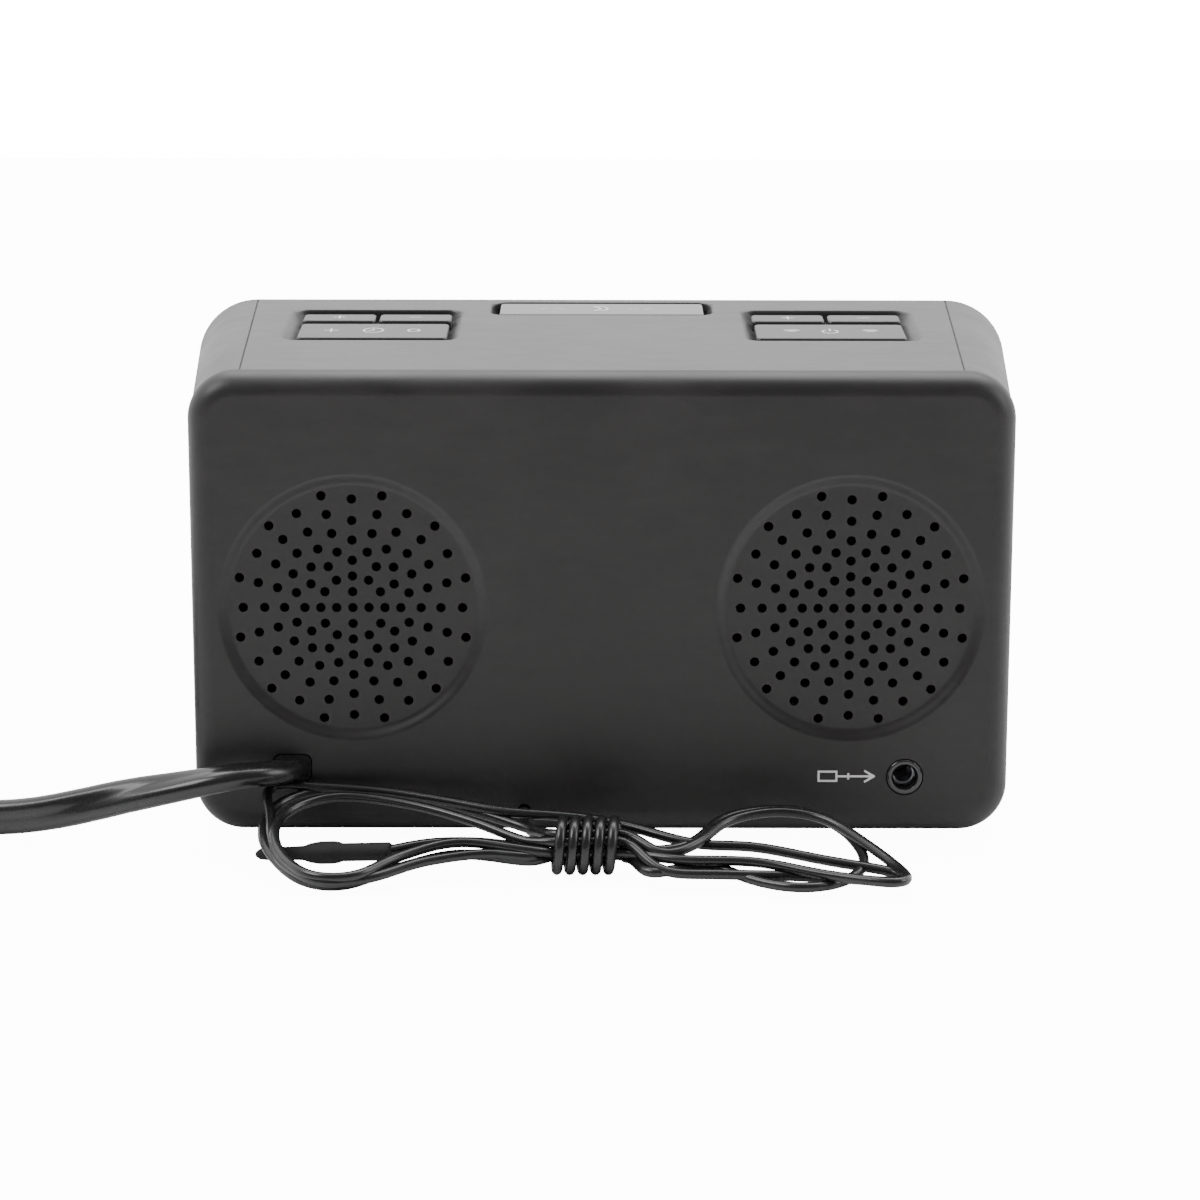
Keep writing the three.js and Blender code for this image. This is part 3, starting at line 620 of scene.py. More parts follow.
def dress(
    piece: bpy.types.Object, finish: str, body: Body | None = None, replaces: Sequence[str] = ()
) -> bpy.types.Object:
    """Gives a piece its finish and its place in the assembly.

    Args:
        piece: The piece.
        finish: A name from SLOT_FINISH, which is also the record's slot where it has one.
        body: The body that it rides on, or None for a CAD node, which rides already.
        replaces: The CAD nodes that it stands for.

    Returns:
        The piece.
    """
    if finish not in PAINTED:
        PAINTED[finish] = SLOT_FINISH[finish].paint(finish)
    piece.data.materials.clear()
    piece.data.materials.append(PAINTED[finish])
    if body is not None:
        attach(piece, body.value)
    if replaces:
        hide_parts(*replaces)
    LOG.info("%s wears %s", piece.name, finish)
    return piece


# ------------------------------------------------------------------ studio
@dataclass
class Studio:
    """The camera, the pale floor and the soft light.

    Attributes:
        eye: Where the camera stands, in millimetres from the middle of the rear face's foot.
        pitch: How far it looks down, in degrees.
        yaw: How far it is turned, in degrees.
        roll: How far it leans, in degrees.
        lens: Its focal length in millimetres on a sensor 36 mm wide.
    """

    eye: tuple[float, float, float] = (0.75, 465.0, 127.1)
    pitch: float = 10.44
    yaw: float = 0.06
    roll: float = 0.103
    lens: float = 85.2

    def camera(self) -> None:
        """Makes the camera, which looks along -Y and down."""
        data = bpy.data.cameras.new("camera")
        data.lens, data.sensor_width = self.lens, 36.0
        data.clip_start, data.clip_end = 0.01, 50.0
        made = bpy.data.objects.new("camera", data)
        bpy.context.scene.collection.objects.link(made)
        turn = Matrix.Rotation(math.pi - math.radians(self.yaw), 4, "Z")
        tilt = Matrix.Rotation(math.pi / 2 - math.radians(self.pitch), 4, "X")
        lean = Matrix.Rotation(math.radians(self.roll), 4, "Z")
        where = Matrix.Translation([self.eye[0] * MM, (REAR_Y + self.eye[1]) * MM, self.eye[2] * MM])
        made.matrix_world = where @ turn @ tilt @ lean
        bpy.context.scene.camera = made

    def floor(self) -> None:
        """Makes the pale floor, whose glow is seen by the camera alone and lights nothing."""
        skin = Skin()
        half = 4000.0
        skin.cap(np.array([(-half, -half, 0), (half, -half, 0), (half, half, 0), (-half, half, 0)], float))
        piece = skin.object("floor")
        p = Paint("floor_board")
        cloud = p.noise(60.0, 2.0)
        p.feed("Base Color", p.tint(cloud, (0.93, 0.93, 0.93), (0.95, 0.95, 0.95)))
        p.feed("Roughness", 0.16 + cloud * 0.06)
        seen = Value(p, p.node("ShaderNodeLightPath", {}, {}).outputs["Is Camera Ray"])
        p.feed("Emission Color", p.tint(seen, (0.0, 0.0, 0.0), (1.0, 1.0, 1.0)))
        p.fix(Specular_IOR_Level=0.35, Emission_Strength=12.0)
        piece.data.materials.append(p.material)

    def lamp(
        self, name: str, at: Sequence[float], aim: Sequence[float], size: Sequence[float], power: float
    ) -> None:
        """Hangs one soft panel of light.

        Args:
            name: The lamp's name.
            at: Where it hangs, in metres.
            aim: The point that it faces, in metres.
            size: Its width and height in metres.
            power: Its power in watts.
        """
        data = bpy.data.lights.new(name, "AREA")
        data.shape, data.size, data.size_y, data.energy = "RECTANGLE", size[0], size[1], power
        made = bpy.data.objects.new(name, data)
        bpy.context.scene.collection.objects.link(made)
        way = np.array(aim, float) - np.array(at, float)
        made.matrix_world = Matrix.Translation(at) @ Vector(way).to_track_quat("-Z", "Y").to_matrix().to_4x4()
        made.visible_camera = False

    def sky(self) -> None:
        """Makes the surroundings: white behind the display, dimmer behind the rear cover."""
        world = bpy.data.worlds.new("surroundings")
        world.use_nodes = True
        bpy.context.scene.world = world
        nodes, links = world.node_tree.nodes, world.node_tree.links
        back = nodes["Background"]
        way = nodes.new("ShaderNodeTexCoord")
        parts = nodes.new("ShaderNodeSeparateXYZ")
        links.new(way.outputs["Generated"], parts.inputs[0])
        ramp = nodes.new("ShaderNodeMapRange")
        ramp.interpolation_type = "SMOOTHSTEP"
        for key, value in {"From Min": -0.35, "From Max": 0.55, "To Min": 1.9, "To Max": 0.18}.items():
            ramp.inputs[key].default_value = value
        links.new(parts.outputs[1], ramp.inputs["Value"])
        path = nodes.new("ShaderNodeLightPath")
        pick = nodes.new("ShaderNodeMix")
        links.new(path.outputs["Is Camera Ray"], pick.inputs[0])
        links.new(ramp.outputs[0], pick.inputs[2])
        pick.inputs[3].default_value = 16.0
        links.new(pick.outputs[0], back.inputs["Strength"])
        back.inputs["Color"].default_value = (1.0, 1.0, 1.0, 1.0)

    def clear(self) -> None:
        """Removes what a new file holds besides the frame."""
        for name in ("Cube", "Light", "Camera"):
            if name in bpy.data.objects:
                bpy.data.objects.remove(bpy.data.objects[name])

    def build(self) -> None:
        """Sets up the whole studio."""
        self.clear()
        self.camera()
        self.floor()
        self.sky()
        self.lamp("key_panel", (0.75, 0.35, 0.9), (0.02, 0.03, 0.05), (0.6, 0.5), 7.0)
        self.lamp("top_panel", (-0.1, -0.35, 1.1), (0, 0, 0.04), (1.3, 0.8), 14.0)
        self.lamp("edge_panel", (-0.9, 0.25, 0.5), (0, 0.03, 0.05), (0.4, 0.6), 2.5)


# ------------------------------------------------------------------ cords
LEAD_ROUTE = [
    (51.95, 31.5, 12.6), (52.0, 33.2, 12.8), (52.7, 34.8, 13), (55.3, 38.1, 13.3), (59.4, 40.3, 13.5),
    (65.1, 40.8, 12.6), (71.7, 39.6, 11.1), (79.2, 37.4, 9.2), (86.8, 34.9, 6.9), (94.3, 32.5, 4.9),
    (102.2, 30, 3.6), (111.3, 27.2, 3.2), (121, 24.2, 3.2), (130, 21.6, 3.2), (138.5, 20, 3.2),
]
TAIL_ROUTE = [
    (171.35, 16.5, 14.6), (177.3, 13.2, 15.6), (182.3, 8.5, 16.8), (186, 2.8, 18.1), (188.3, -3.6, 19.1),
    (188.9, -9.5, 19.35),
]
AERIAL_ROUTE = [
    (13, 35, 5.1), (12.6, 39, 4.8), (11.4, 43.5, 4.8), (9.3, 48.5, 5.1), (5.5, 51.7, 4.4),
    (1, 51.7, 4.4), (-4, 51.7, 4.4), (-9.8, 53.3, 4.4), (-15, 50.7, 5.2), (-19.7, 44, 7.1),
    (-26.2, 41.3, 7.9), (-33.6, 41.8, 7.8), (-39.2, 46.9, 6.3), (-42.1, 54.1, 4.2), (-41.3, 59.1, 2.7),
    (-37.1, 63.6, 1.9), (-30.9, 65.8, 1.9), (-24.5, 62.1, 1.9), (-18.1, 57.9, 3), (-12.5, 58.6, 2.9),
    (-7.5, 59.8, 2.5), (-4, 53.2, 3.5), (2, 53.2, 3.5), (8, 53.2, 3.5), (11.4, 55.2, 3.1),
    (23.2, 53.2, 3.7), (33.5, 57.9, 2.4), (40.9, 62.6, 1.2), (47.7, 60.7, 1.5), (53.2, 53.6, 3.6),
    (55.5, 45.4, 6), (53.1, 37.6, 8.3), (44.5, 33.6, 9.4), (32.1, 36, 8.8), (20.4, 40.7, 7.4),
    (11.6, 45.8, 5.9), (8, 53.2, 7.1), (2, 53.2, 7.1), (-4, 53.2, 7.1), (-9.8, 57, 4.9),
    (-15.4, 53.9, 5.8), (-20.7, 47.3, 7.8), (-28.8, 44.5, 8.6), (-36.6, 46.8, 7.9), (-42.8, 54.3, 5.7),
    (-47.4, 61.6, 3.6), (-47.9, 66.8, 3.5), (-45, 68.5, 3.5), (-35.3, 64.1, 3.5), (-24.6, 59.3, 4.2),
    (-12.5, 58.7, 4.4), (-4, 54.7, 4.4), (2, 54.7, 4.4), (8, 54.7, 4.4), (11.4, 55.5, 5),
    (23.2, 53.1, 5.7), (32.5, 57.4, 4.4), (38.9, 63.7, 3.1), (45.7, 63.7, 3.1), (50.7, 57.6, 4.3),
    (53.1, 49.8, 6.6), (50.8, 43.2, 8.6), (43.4, 39.3, 9.7), (31.8, 41.6, 9), (21.2, 46.7, 7.5),
    (12.6, 52.4, 5.8), (8, 54.7, 6.2), (2, 54.7, 6.2), (-4, 54.7, 6.2), (-9.7, 59.7, 2.9),
    (-19.1, 60.8, 2.6), (-30.1, 61.3, 2.5), (-40.4, 62.6, 2.3), (-45.8, 64, 2.3), (-48.2, 61.7, 2.3),
    (-45.9, 60, 2.9), (-35.9, 56.8, 3.8), (-25, 53, 4.9), (-14.9, 51.8, 5.2), (-4.3, 46.8, 6.7),
    (4.2, 44.1, 7.5), (15.7, 42.5, 8), (26.2, 39.1, 9), (36.2, 36.3, 9.8), (46.7, 34.8, 10.2),
    (53.8, 34.4, 10.3), (55.6, 35.5, 10), (55.6, 37.9, 9.3), (54.4, 43.6, 7.6), (53.3, 50.9, 5.5),
    (50.7, 58, 3.4), (44, 64.5, 2.3), (36.6, 62.1, 2.3), (28.6, 57.4, 3.6), (18.7, 54.9, 4.3),
    (11.4, 55.9, 4),
]
AERIAL_END = [
    (-4.6, 51.3, 2.1), (-3.4, 52, 3.4), (0.5, 51.7, 6.2), (4, 51.7, 6.2), (8, 51.7, 6.2),
    (11.5, 51.8, 4.6), (20, 50.6, 5), (27.8, 50.8, 4.9), (35, 53.3, 4.2),
]


def smooth_line(points: Sequence[Sequence[float]], spacing: float) -> np.ndarray:
    """Draws one smooth curve through points, evenly spaced.

    Between two points it is the Catmull-Rom cubic of them and their neighbours.

    Args:
        points: The points it goes through.
        spacing: The distance between the points that it returns.

    Returns:
        An array of (n, 3).
    """
    p = np.array(points, float)
    p = np.concatenate([2 * p[:1] - p[1:2], p, 2 * p[-1:] - p[-2:-1]])
    t = np.linspace(0, 1, 12, endpoint=False)[None, :, None]
    a, b, c, d = (p[i : len(p) - 3 + i, None] for i in range(4))
    curve = 0.5 * (2 * b + (c - a) * t + (2 * a - 5 * b + 4 * c - d) * t**2 + (3 * b - a - 3 * c + d) * t**3)
    line = np.concatenate([curve.reshape(-1, 3), p[-2:-1]])
    run = np.concatenate([[0], np.cumsum(np.linalg.norm(np.diff(line, axis=0), axis=1))])
    even = np.linspace(0, run[-1], int(run[-1] / spacing) + 1)
    return np.stack([np.interp(even, run, line[:, i]) for i in range(3)], axis=-1)


def relaxed(line: np.ndarray, rounds: int) -> np.ndarray:
    """Eases small kinks: each inner point moves to the weighted mean of itself and its neighbours."""
    out = line.copy()
    for _ in range(rounds):
        out[1:-1] = 0.25 * out[:-2] + 0.5 * out[1:-1] + 0.25 * out[2:]
    return out


def length_of(line: np.ndarray) -> float:
    """Gives a line's length in millimetres."""
    return float(np.linalg.norm(np.diff(line, axis=0), axis=1).sum())


@dataclass
class MainsLead:
    """The flat twin mains lead, its coil and its plug.

    Attributes:
        width: The lead's width in millimetres.
        thick: Its thickness.
        groove: How deep the line between its two cores is.
        coil: The coil's middle in X and Y.
        radii: The inner and outer radius of its turns.
        layers: The heights of its two layers.
    """

    width: float = 6.0
    thick: float = 3.6
    groove: float = 0.1
    coil: tuple[float, float] = (157.0, -19.0)
    radii: tuple[float, float] = (27.5, 38.6)
    layers: tuple[float, float] = (3.2, 9.3)

    def route(self) -> np.ndarray:
        """Gives the centreline from the slot to the plug.

        The coil turns clockwise: inwards three turns in the low layer, up within a third of a turn,
        outwards in the high layer, and up onto the coil's top in its last quarter turn.
        """
        inner, outer = self.radii
        turns = np.linspace(0, 6.06, 6 * 24)
        down, up, last = 3.0, 3.35, 5.83
        radius = np.interp(turns, [0, down, up, turns[-1]], [outer, inner, inner, outer])
        step = np.clip((turns - down) / (up - down), 0, 1)
        height = self.layers[0] + (self.layers[1] - self.layers[0]) * step * step * (3 - 2 * step)
        climb = np.clip((turns - last) / (turns[-1] - last), 0, 1)
        below_tail = 0.7
        rise = TAIL_ROUTE[0][2] - below_tail - self.layers[1]
        height += rise * climb * climb * (1.5 - 0.5 * climb)
        angle = math.radians(100) - 2 * math.pi * turns
        x = self.coil[0] + radius * np.cos(angle)
        y = self.coil[1] + radius * np.sin(angle)
        coil = np.stack([x, y, height], axis=-1)
        points = np.concatenate([np.array(LEAD_ROUTE), coil, np.array(TAIL_ROUTE)])
        return relaxed(smooth_line(points, 1.5), 3)

    def section(self) -> np.ndarray:
        """Gives the section: two round cores side by side with a shallow groove between them."""
        half, r = self.width / 2, self.thick / 2
        bow = np.linspace(-math.pi / 2, math.pi / 2, 11)
        right = np.stack([half - r + r * np.cos(bow), r * np.sin(bow)], axis=-1)
        dip = np.array([(0.35, r), (0.0, r - self.groove), (-0.35, r)])
        return np.concatenate([right, dip, -right, -dip])

    def sweep(self, line: np.ndarray) -> Skin:
        """Carries the section along the line, lying flat at the slot and the plug, upright between."""
        ahead = np.gradient(line, axis=0)
        ahead /= np.linalg.norm(ahead, axis=1, keepdims=True)
        side = np.cross(ahead, [0, 0, 1.0])
        side /= np.linalg.norm(side, axis=1, keepdims=True)
        over = np.cross(side, ahead)
        run = np.concatenate([[0], np.cumsum(np.linalg.norm(np.diff(line, axis=0), axis=1))])
        rise = np.clip((run - 6) / 46, 0, 1)
        fall = np.clip((run[-1] - 10 - run) / 60, 0, 1)
        turn = (rise * rise * (3 - 2 * rise) * fall * fall * (3 - 2 * fall) * math.pi / 2)[:, None]
        wide = side * np.cos(turn) + over * np.sin(turn)
        thin = np.cross(wide, ahead)
        flat = self.section()
        rings = line[:, None] + flat[None, :, :1] * wide[:, None] + flat[None, :, 1:] * thin[:, None]
        return Skin().loft(rings)

    def plug(self) -> list[bpy.types.Object]:
        """Makes the two-pin plug: a lofted body with a boot, two pins and their sleeves.

        Returns:
            The plug's pieces.
        """
        low, high = node_box("plug_body")
        middle = (low + high) / 2
        along = np.array([0, 2, 4, 6, 8, 10, 12, 14, 18, 23, 28, 30.5, 31.6, 32.0])
        width = np.array([10, 12.2, 11.4, 12.8, 12.2, 14.4, 15.5, 18.5, 26, 32, 34.8, 35.2, 34.6, 33.2])
        depth = np.array([7, 8.6, 8, 9, 8.6, 9.8, 10.2, 11, 12.6, 13.5, 13.7, 13.6, 13.1, 12])
        rings = [
            np.insert(rounded(w, h, 0.36 * h, 6, (middle[0], middle[2])), 1, high[1] - a, axis=1)
            for a, w, h in zip(along, width, depth)
        ]
        body = Skin().loft(np.stack(rings)).object("plug_shell", sharp=50, recalculate=True)
        made = [dress(body, "cord_pvc", Body.RADIO, ["plug_body"])]
        for side in ("left", "right"):
            a, b = node_box(f"plug_pin_{side}")
            at = ((a[0] + b[0]) / 2, b[1], (a[2] + b[2]) / 2)
            long = float(b[1] - a[1])
            tip = [(2.0 * math.cos(q), -long + 2.0 * (1 - math.sin(q))) for q in np.linspace(0, 1.5, 7)]
            pin = Skin()
            pin.lathe([(0.001, 0), (1.95, 0), (1.95, -long + 2.2), *tip, (0.001, -long)], at, 24)
            metal = pin.object(f"plug_prong_{side}", recalculate=True)
            made.append(dress(metal, "plug_metal", Body.RADIO, [f"plug_pin_{side}"]))
            sleeve = Skin()
            sleeve.lathe([(1.9, 0.2), (2.15, 0.2), (2.15, -9.8), (2.05, -10), (1.9, -10)], at, 24)
            cuff = sleeve.object(f"plug_cuff_{side}", recalculate=True)
            made.append(dress(cuff, "cord_pvc", Body.RADIO))
        return made

    def build(self) -> None:
        line = self.route()
        lead = self.sweep(line).object("mains_cable", sharp=60, recalculate=True)
        dress(lead, "cord_pvc", Body.RADIO, ["mains_lead", "mains_lead_coil", "mains_lead_tail"])
        plug = self.plug()
        LOG.info("mains lead %.0f mm", length_of(line))


@dataclass
class WireAerial:
    """The thin wire aerial, looped in a tied hank, and the sleeve on its end.

    Attributes:
        radius: The wire's radius in millimetres.
        turns: How many wraps tie the hank.
        start: Where the wraps begin, in X, and the middle of the bundle in Y and Z.
        pitch: How far each wrap moves along X.
        wrap: The wraps' radius.
    """

    radius: float = 0.85
    turns: int = 5
    start: tuple[float, float, float] = (7.6, 53.2, 5.3)
    pitch: float = 2.08
    wrap: float = 4.25

    def route(self) -> np.ndarray:
        """Gives the centreline: out of the hole, round the loops, through the wraps, to the sleeve."""
        t = np.linspace(0, 1, self.turns * 12 + 1)
        angle = math.radians(-150) + 2 * math.pi * self.turns * t
        x = self.start[0] - self.pitch * self.turns * t
        y = self.start[1] + self.wrap * np.cos(angle)
        z = self.start[2] + self.wrap * np.sin(angle)
        wraps = np.stack([x, y, z], axis=-1)
        first = [(AERIAL_HOLE[0], REAR_Y + 0.2, AERIAL_HOLE[1])]
        points = np.concatenate([np.array(first), AERIAL_ROUTE, wraps, AERIAL_END])
        return relaxed(smooth_line(points, 0.9), 4)

    def sleeve(self, line: np.ndarray) -> bpy.types.Object:
        """Makes the sleeve on the wire's end: a tube with a bulge and a rounded flat tongue.

        Its rings are ellipses whose width and height follow the distance along its axis.

        Args:
            line: The wire's centreline.

        Returns:
            The piece.
        """
        along = np.array([0, 0.4, 8.5, 9.3, 10.2, 12.5, 14.2, 15.4, 17.5, 21.5, 23.2, 23.9, 24.1])
        wide = np.array([1.3, 1.65, 1.6, 2.1, 2.3, 2.3, 1.9, 1.5, 1.45, 1.45, 1.25, 0.7, 0.05])
        high = np.array([1.2, 1.5, 1.5, 1.75, 1.85, 1.85, 1.6, 1.2, 1.1, 1.1, 0.9, 0.5, 0.05])
        start, end = line[-1], np.array([58.6, 45.4, 1.5])
        ahead = (end - start) / np.linalg.norm(end - start)
        side = np.cross(ahead, [0, 0, 1.0])
        over = np.cross(side, ahead)
        middle = start - ahead * 1.2 + along[:, None] * ahead
        angle = np.arange(20) * 2 * math.pi / 20
        rings = (
            middle[:, None]
            + wide[:, None, None] * np.cos(angle)[None, :, None] * side
            + high[:, None, None] * np.sin(angle)[None, :, None] * over
        )
        piece = Skin().loft(rings).object("aerial_sleeve", sharp=50, recalculate=True)
        return dress(piece, "rubber_black", Body.RADIO, ["aerial_tip"])

    def build(self) -> None:
        line = self.route()
        line[:, 2] = np.maximum(line[:, 2], self.radius + 0.05)
        curve = bpy.data.curves.new("aerial_lead", "CURVE")
        curve.dimensions = "3D"
        curve.bevel_depth = self.radius * MM
        curve.bevel_resolution = 3
        curve.use_fill_caps = True
        spline = curve.splines.new("POLY")
        spline.points.add(len(line) - 1)
        spline.points.foreach_set("co", np.insert(line * MM, 3, 1.0, axis=1).ravel())
        spline.use_smooth = True
        wire = bpy.data.objects.new("aerial_lead", curve)
        bpy.context.scene.collection.objects.link(wire)
        dress(wire, "cord_pvc", Body.RADIO, ["aerial_wire", "aerial_hank"])
        self.sleeve(line)
        LOG.info("wire aerial %.0f mm", length_of(line))


# ------------------------------------------------------------------ rear cover
@dataclass
class RearCover:
    """The rear cover: a rounded shell with two dished grilles, a socket hole and a lead slot.

    Attributes:
        edge: The depth of its rounded edge in millimetres.
        inset: How far the rounding draws in.
        spacing: The distance between the grilles' middles.
        height: Their height over the table.
        dish: The outer and inner radius of the dish's soft edge.
        deep: The dish's depth.
        hole: The radius of a grille hole.
        rings: The radii of the rings of twelve holes that start on the X axis.
        turned: The radii of those that are turned by half a step.
        centre_ring: The radius of the four holes round the middle one.
    """

    edge: float = 4.4
    inset: float = 4.1
    spacing: float = 83.0
    height: float = 39.9
    dish: tuple[float, float] = (22.7, 20.5)
    deep: float = 0.9
    hole: float = 0.8
    rings: tuple[float, ...] = (5.35, 8.0, 11.4, 14.7, 18.3)
    turned: tuple[float, ...] = (9.7, 12.95, 16.25, 19.5)
    centre_ring: float = 2.7

    def holes(self, at: tuple[float, float]) -> list[np.ndarray]:
        """Gives one grille's holes: the middle one, four round it, and rings of twelve.

        Args:
            at: The grille's middle.

        Returns:
            Their outlines.
        """
        rings = [(self.centre_ring, 4, 0.0)]
        rings += [(r, 12, 0.0) for r in self.rings] + [(r, 12, 0.5) for r in self.turned]
        places = [at]
        for radius, count, turn in rings:
            angle = (np.arange(count) + turn) * 2 * math.pi / count
            xs, zs = at[0] + radius * np.cos(angle), at[1] + radius * np.sin(angle)
            places += list(zip(xs.tolist(), zs.tolist()))
        return [circle(self.hole, 18, place) for place in places]

    def build(self) -> None:
        """Makes the cover's shell."""
        middle = FLOOR_Z + COVER_HEIGHT / 2
        rim = RIM_REAR_Y + JOINT_GAP
        bend = np.linspace(0, math.pi / 2, 15)
        insets = np.concatenate([[0.9, 0.0], self.inset * (1 - np.cos(bend))])
        ys = np.concatenate([[rim, rim], REAR_Y - self.edge * (1 - np.sin(bend))])
        ys[2:] = np.maximum(ys[2:], rim + 0.02)
        loops = [
            rounded(COVER_WIDTH - 2 * i, COVER_HEIGHT - 2 * i, COVER_CORNER - i, 16, (0, middle))
            for i in insets
        ]
        skin = Skin()
        skin.grid(np.stack([np.insert(o, 1, y, axis=1) for o, y in zip(loops, ys)]), flip=True)
        socket, slot = Socket(), LeadSlot()
        face = [loops[-1], circle(socket.ring + 0.15, 40, socket.at), slot.outline()]
        face.append(circle(AERIAL_HOLE_RADIUS, 20, AERIAL_HOLE))
        fall = np.linspace(0, 1, 9)
        for x in (-self.spacing / 2, self.spacing / 2):
            at = (x, self.height)
            face.append(circle(self.dish[0], 96, at))
            radius = self.dish[0] + (self.dish[1] - self.dish[0]) * fall
            y = REAR_Y - self.deep * fall * fall * (3 - 2 * fall)
            ring = np.stack([np.insert(circle(r, 96, at), 1, d, axis=1) for r, d in zip(radius, y)])
            skin.grid(ring, flip=True)
            skin.plate([circle(self.dish[1], 96, at), *self.holes(at)], xz(REAR_Y - self.deep), flip=True)
        skin.plate(face, xz(REAR_Y), flip=True)
        piece = skin.object("rear_shell", thick=1.6, sharp=40)
        dress(piece, "cover_plastic", Body.RADIO, ["rear_cover"])


@dataclass
class LeadSlot:
    """The slot that the mains lead leaves by, with rounded corners."""

    at: tuple[float, float] = (51.95, 12.6)
    size: tuple[float, float] = (6.6, 4.75)
    corner: float = 1.2

    def outline(self) -> np.ndarray:
        """Gives the slot's outline in X and Z."""
        return rounded(*self.size, self.corner, 6, self.at)


@dataclass
class Socket:
    """The auxiliary socket: a polished ring round a deep bore with a sprung contact in it.

    Attributes:
        at: Its middle in X and Z.
        ring: The ring's outer radius in millimetres.
        bore: The bore's radius.
        mouth: The flare's radius.
    """

    at: tuple[float, float] = (-51.1, 11.2)
    ring: float = 3.0
    bore: float = 1.8
    mouth: float = 2.15

    def build(self) -> None:
        """Makes the socket's ring, its liner, and the pictogram beside it."""
        turn = np.linspace(0, math.pi / 2, 6)
        lip = [(self.ring - 0.35 * (1 - math.cos(a)), -0.1 + 0.35 * math.sin(a)) for a in turn]
        throat = [(self.mouth + 0.1, 0.22), (self.mouth, 0.1), (self.bore + 0.05, -0.7), (self.bore, -1.2)]
        profile = [(self.ring, -2.4), *lip, *throat, (self.bore, -9.0), (0.01, -9.0)]
        ring = Skin()
        ring.lathe(profile, (self.at[0], REAR_Y, self.at[1]), 56, flip=True)
        piece = ring.object("socket_ring", sharp=45)
        dress(piece, "bezel_gloss", Body.RADIO, ["aux_socket"])
        liner = Skin()
        inner = self.bore - 0.04
        profile = [(inner + 0.02, -3.0), (inner - 0.15, -3.05), (inner - 0.15, -6.0), (inner + 0.02, -6.1)]
        liner.lathe(profile, (self.at[0], REAR_Y, self.at[1]), 40, flip=True)
        contact = liner.object("socket_contact")
        dress(contact, "plain_steel", Body.RADIO)
        art = Strokes(0.36)
        plug = np.array([(-36.6, 10.5), (-39.6, 10.5), (-39.6, 12.1), (-36.6, 12.1)])
        art.line(np.concatenate([plug, plug[:1]]))
        art.line(np.array([(-39.6, 11.3), (-45.8, 11.3)]))
        art.line(np.array([(-44.4, 12.2), (-45.9, 11.3), (-44.4, 10.4)]))
        art.line(np.array([(-41.6, 10.9), (-41.6, 11.7)]))
        art.build("socket_mark", xz(REAR_Y), 0.03, Body.RADIO)


class Strokes:
    """Painted pictograms made of ribbons of one width."""

    def __init__(self, width: float) -> None:
        """Starts with no ribbons, each to be this wide in millimetres."""
        self.width = width
        self.ribbons: list[np.ndarray] = []

    def line(self, points: np.ndarray) -> None:
        """Adds a ribbon along points, offset to both sides by half its width.

        Args:
            points: An array of (n, 2).
        """
        for a, b in zip(points[:-1], points[1:]):
            way = (b - a) / max(float(np.linalg.norm(b - a)), 1e-9)
            side = np.array([-way[1], way[0]]) * self.width / 2
            reach = way * self.width * 0.4
            start, end = a - reach, b + reach
            self.ribbons.append(np.array([start - side, end - side, end + side, start + side]))

    def arc(self, at: tuple[float, float], radius: float, start: float, end: float) -> None:
        """Adds a ribbon along an arc, its angles in degrees."""
        angle = np.radians(np.linspace(start, end, max(4, int(abs(end - start) / 14))))
        self.line(np.stack([at[0] + radius * np.cos(angle), at[1] + radius * np.sin(angle)], axis=-1))

    def build(self, name: str, place: Place, lift: float, body: Body) -> bpy.types.Object:
        """Makes the ribbons one thin painted piece.

        Args:
            name: The piece's name.
            place: Turns flat points and a height into the radio's frame.
            lift: How far the paint stands over the surface.
            body: The body that it rides on.

        Returns:
            The piece.
        """
        skin = Skin()
        for i, corners in enumerate(self.ribbons):
            height = lift + 0.0015 * (i % 5)
            top = place(np.insert(corners, 2, height, axis=1))
            low = place(np.insert(corners, 2, -0.02, axis=1))
            skin.loft(np.stack([low, top]))
        piece = skin.object(name, recalculate=True)
        return dress(piece, "legend", body)


# ------------------------------------------------------------------ cabinet and keys
@dataclass(frozen=True)
class Recess:
    """A key recess in the deck: its middle in X, its run up the slope, and how its sides draw in."""

    x: float
    near: float
    far: float
    width: float
    draft: float
    deep: float = 2.2


@dataclass(frozen=True)
class Key:
    """A key: the body it rides on, its middle in X, its run up the slope, its width and finish."""

    body: Body
    x: float
    near: float
    far: float
    width: float
    finish: str = "key_plastic"


RECESSES = (
    Recess(-40.3, 22.6, 46.3, 31, 2.5),
    Recess(40.3, 22.6, 46.3, 31, 2.5),
    Recess(0, 42.5, 52.8, 40.3, 1.2),
)
KEYS = (
    Key(Body.POWER, -40.1, 24.5, 35.5, 26.2),
    Key(Body.VOLUME_DOWN, -46.9, 37.8, 43, 13),
    Key(Body.VOLUME_UP, -33.3, 37.8, 43, 13),
    Key(Body.TIME, 40.1, 24.5, 35.5, 26.2),
    Key(Body.HOUR, 33.3, 37.8, 43, 13),
    Key(Body.MINUTE, 46.9, 37.8, 43, 13),
    Key(Body.SNOOZE, 0, 43, 52.1, 37, "snooze_gloss"),
)
KEY_TOP = -0.05
LEGEND_LIFT = 0.025
LEGEND_WIDTH = 0.34
SMALL_LEGEND_WIDTH = 0.3
# Each well's middle in X, its run up the slope, and its width.
WELLS = (
    *((x, *well) for x in (-40.1, 40.1) for well in ((24.3, 35.7, 26.6), (37.6, 43.2, 27.0))),
    (0, 42.8, 52.3, 37.4),
)


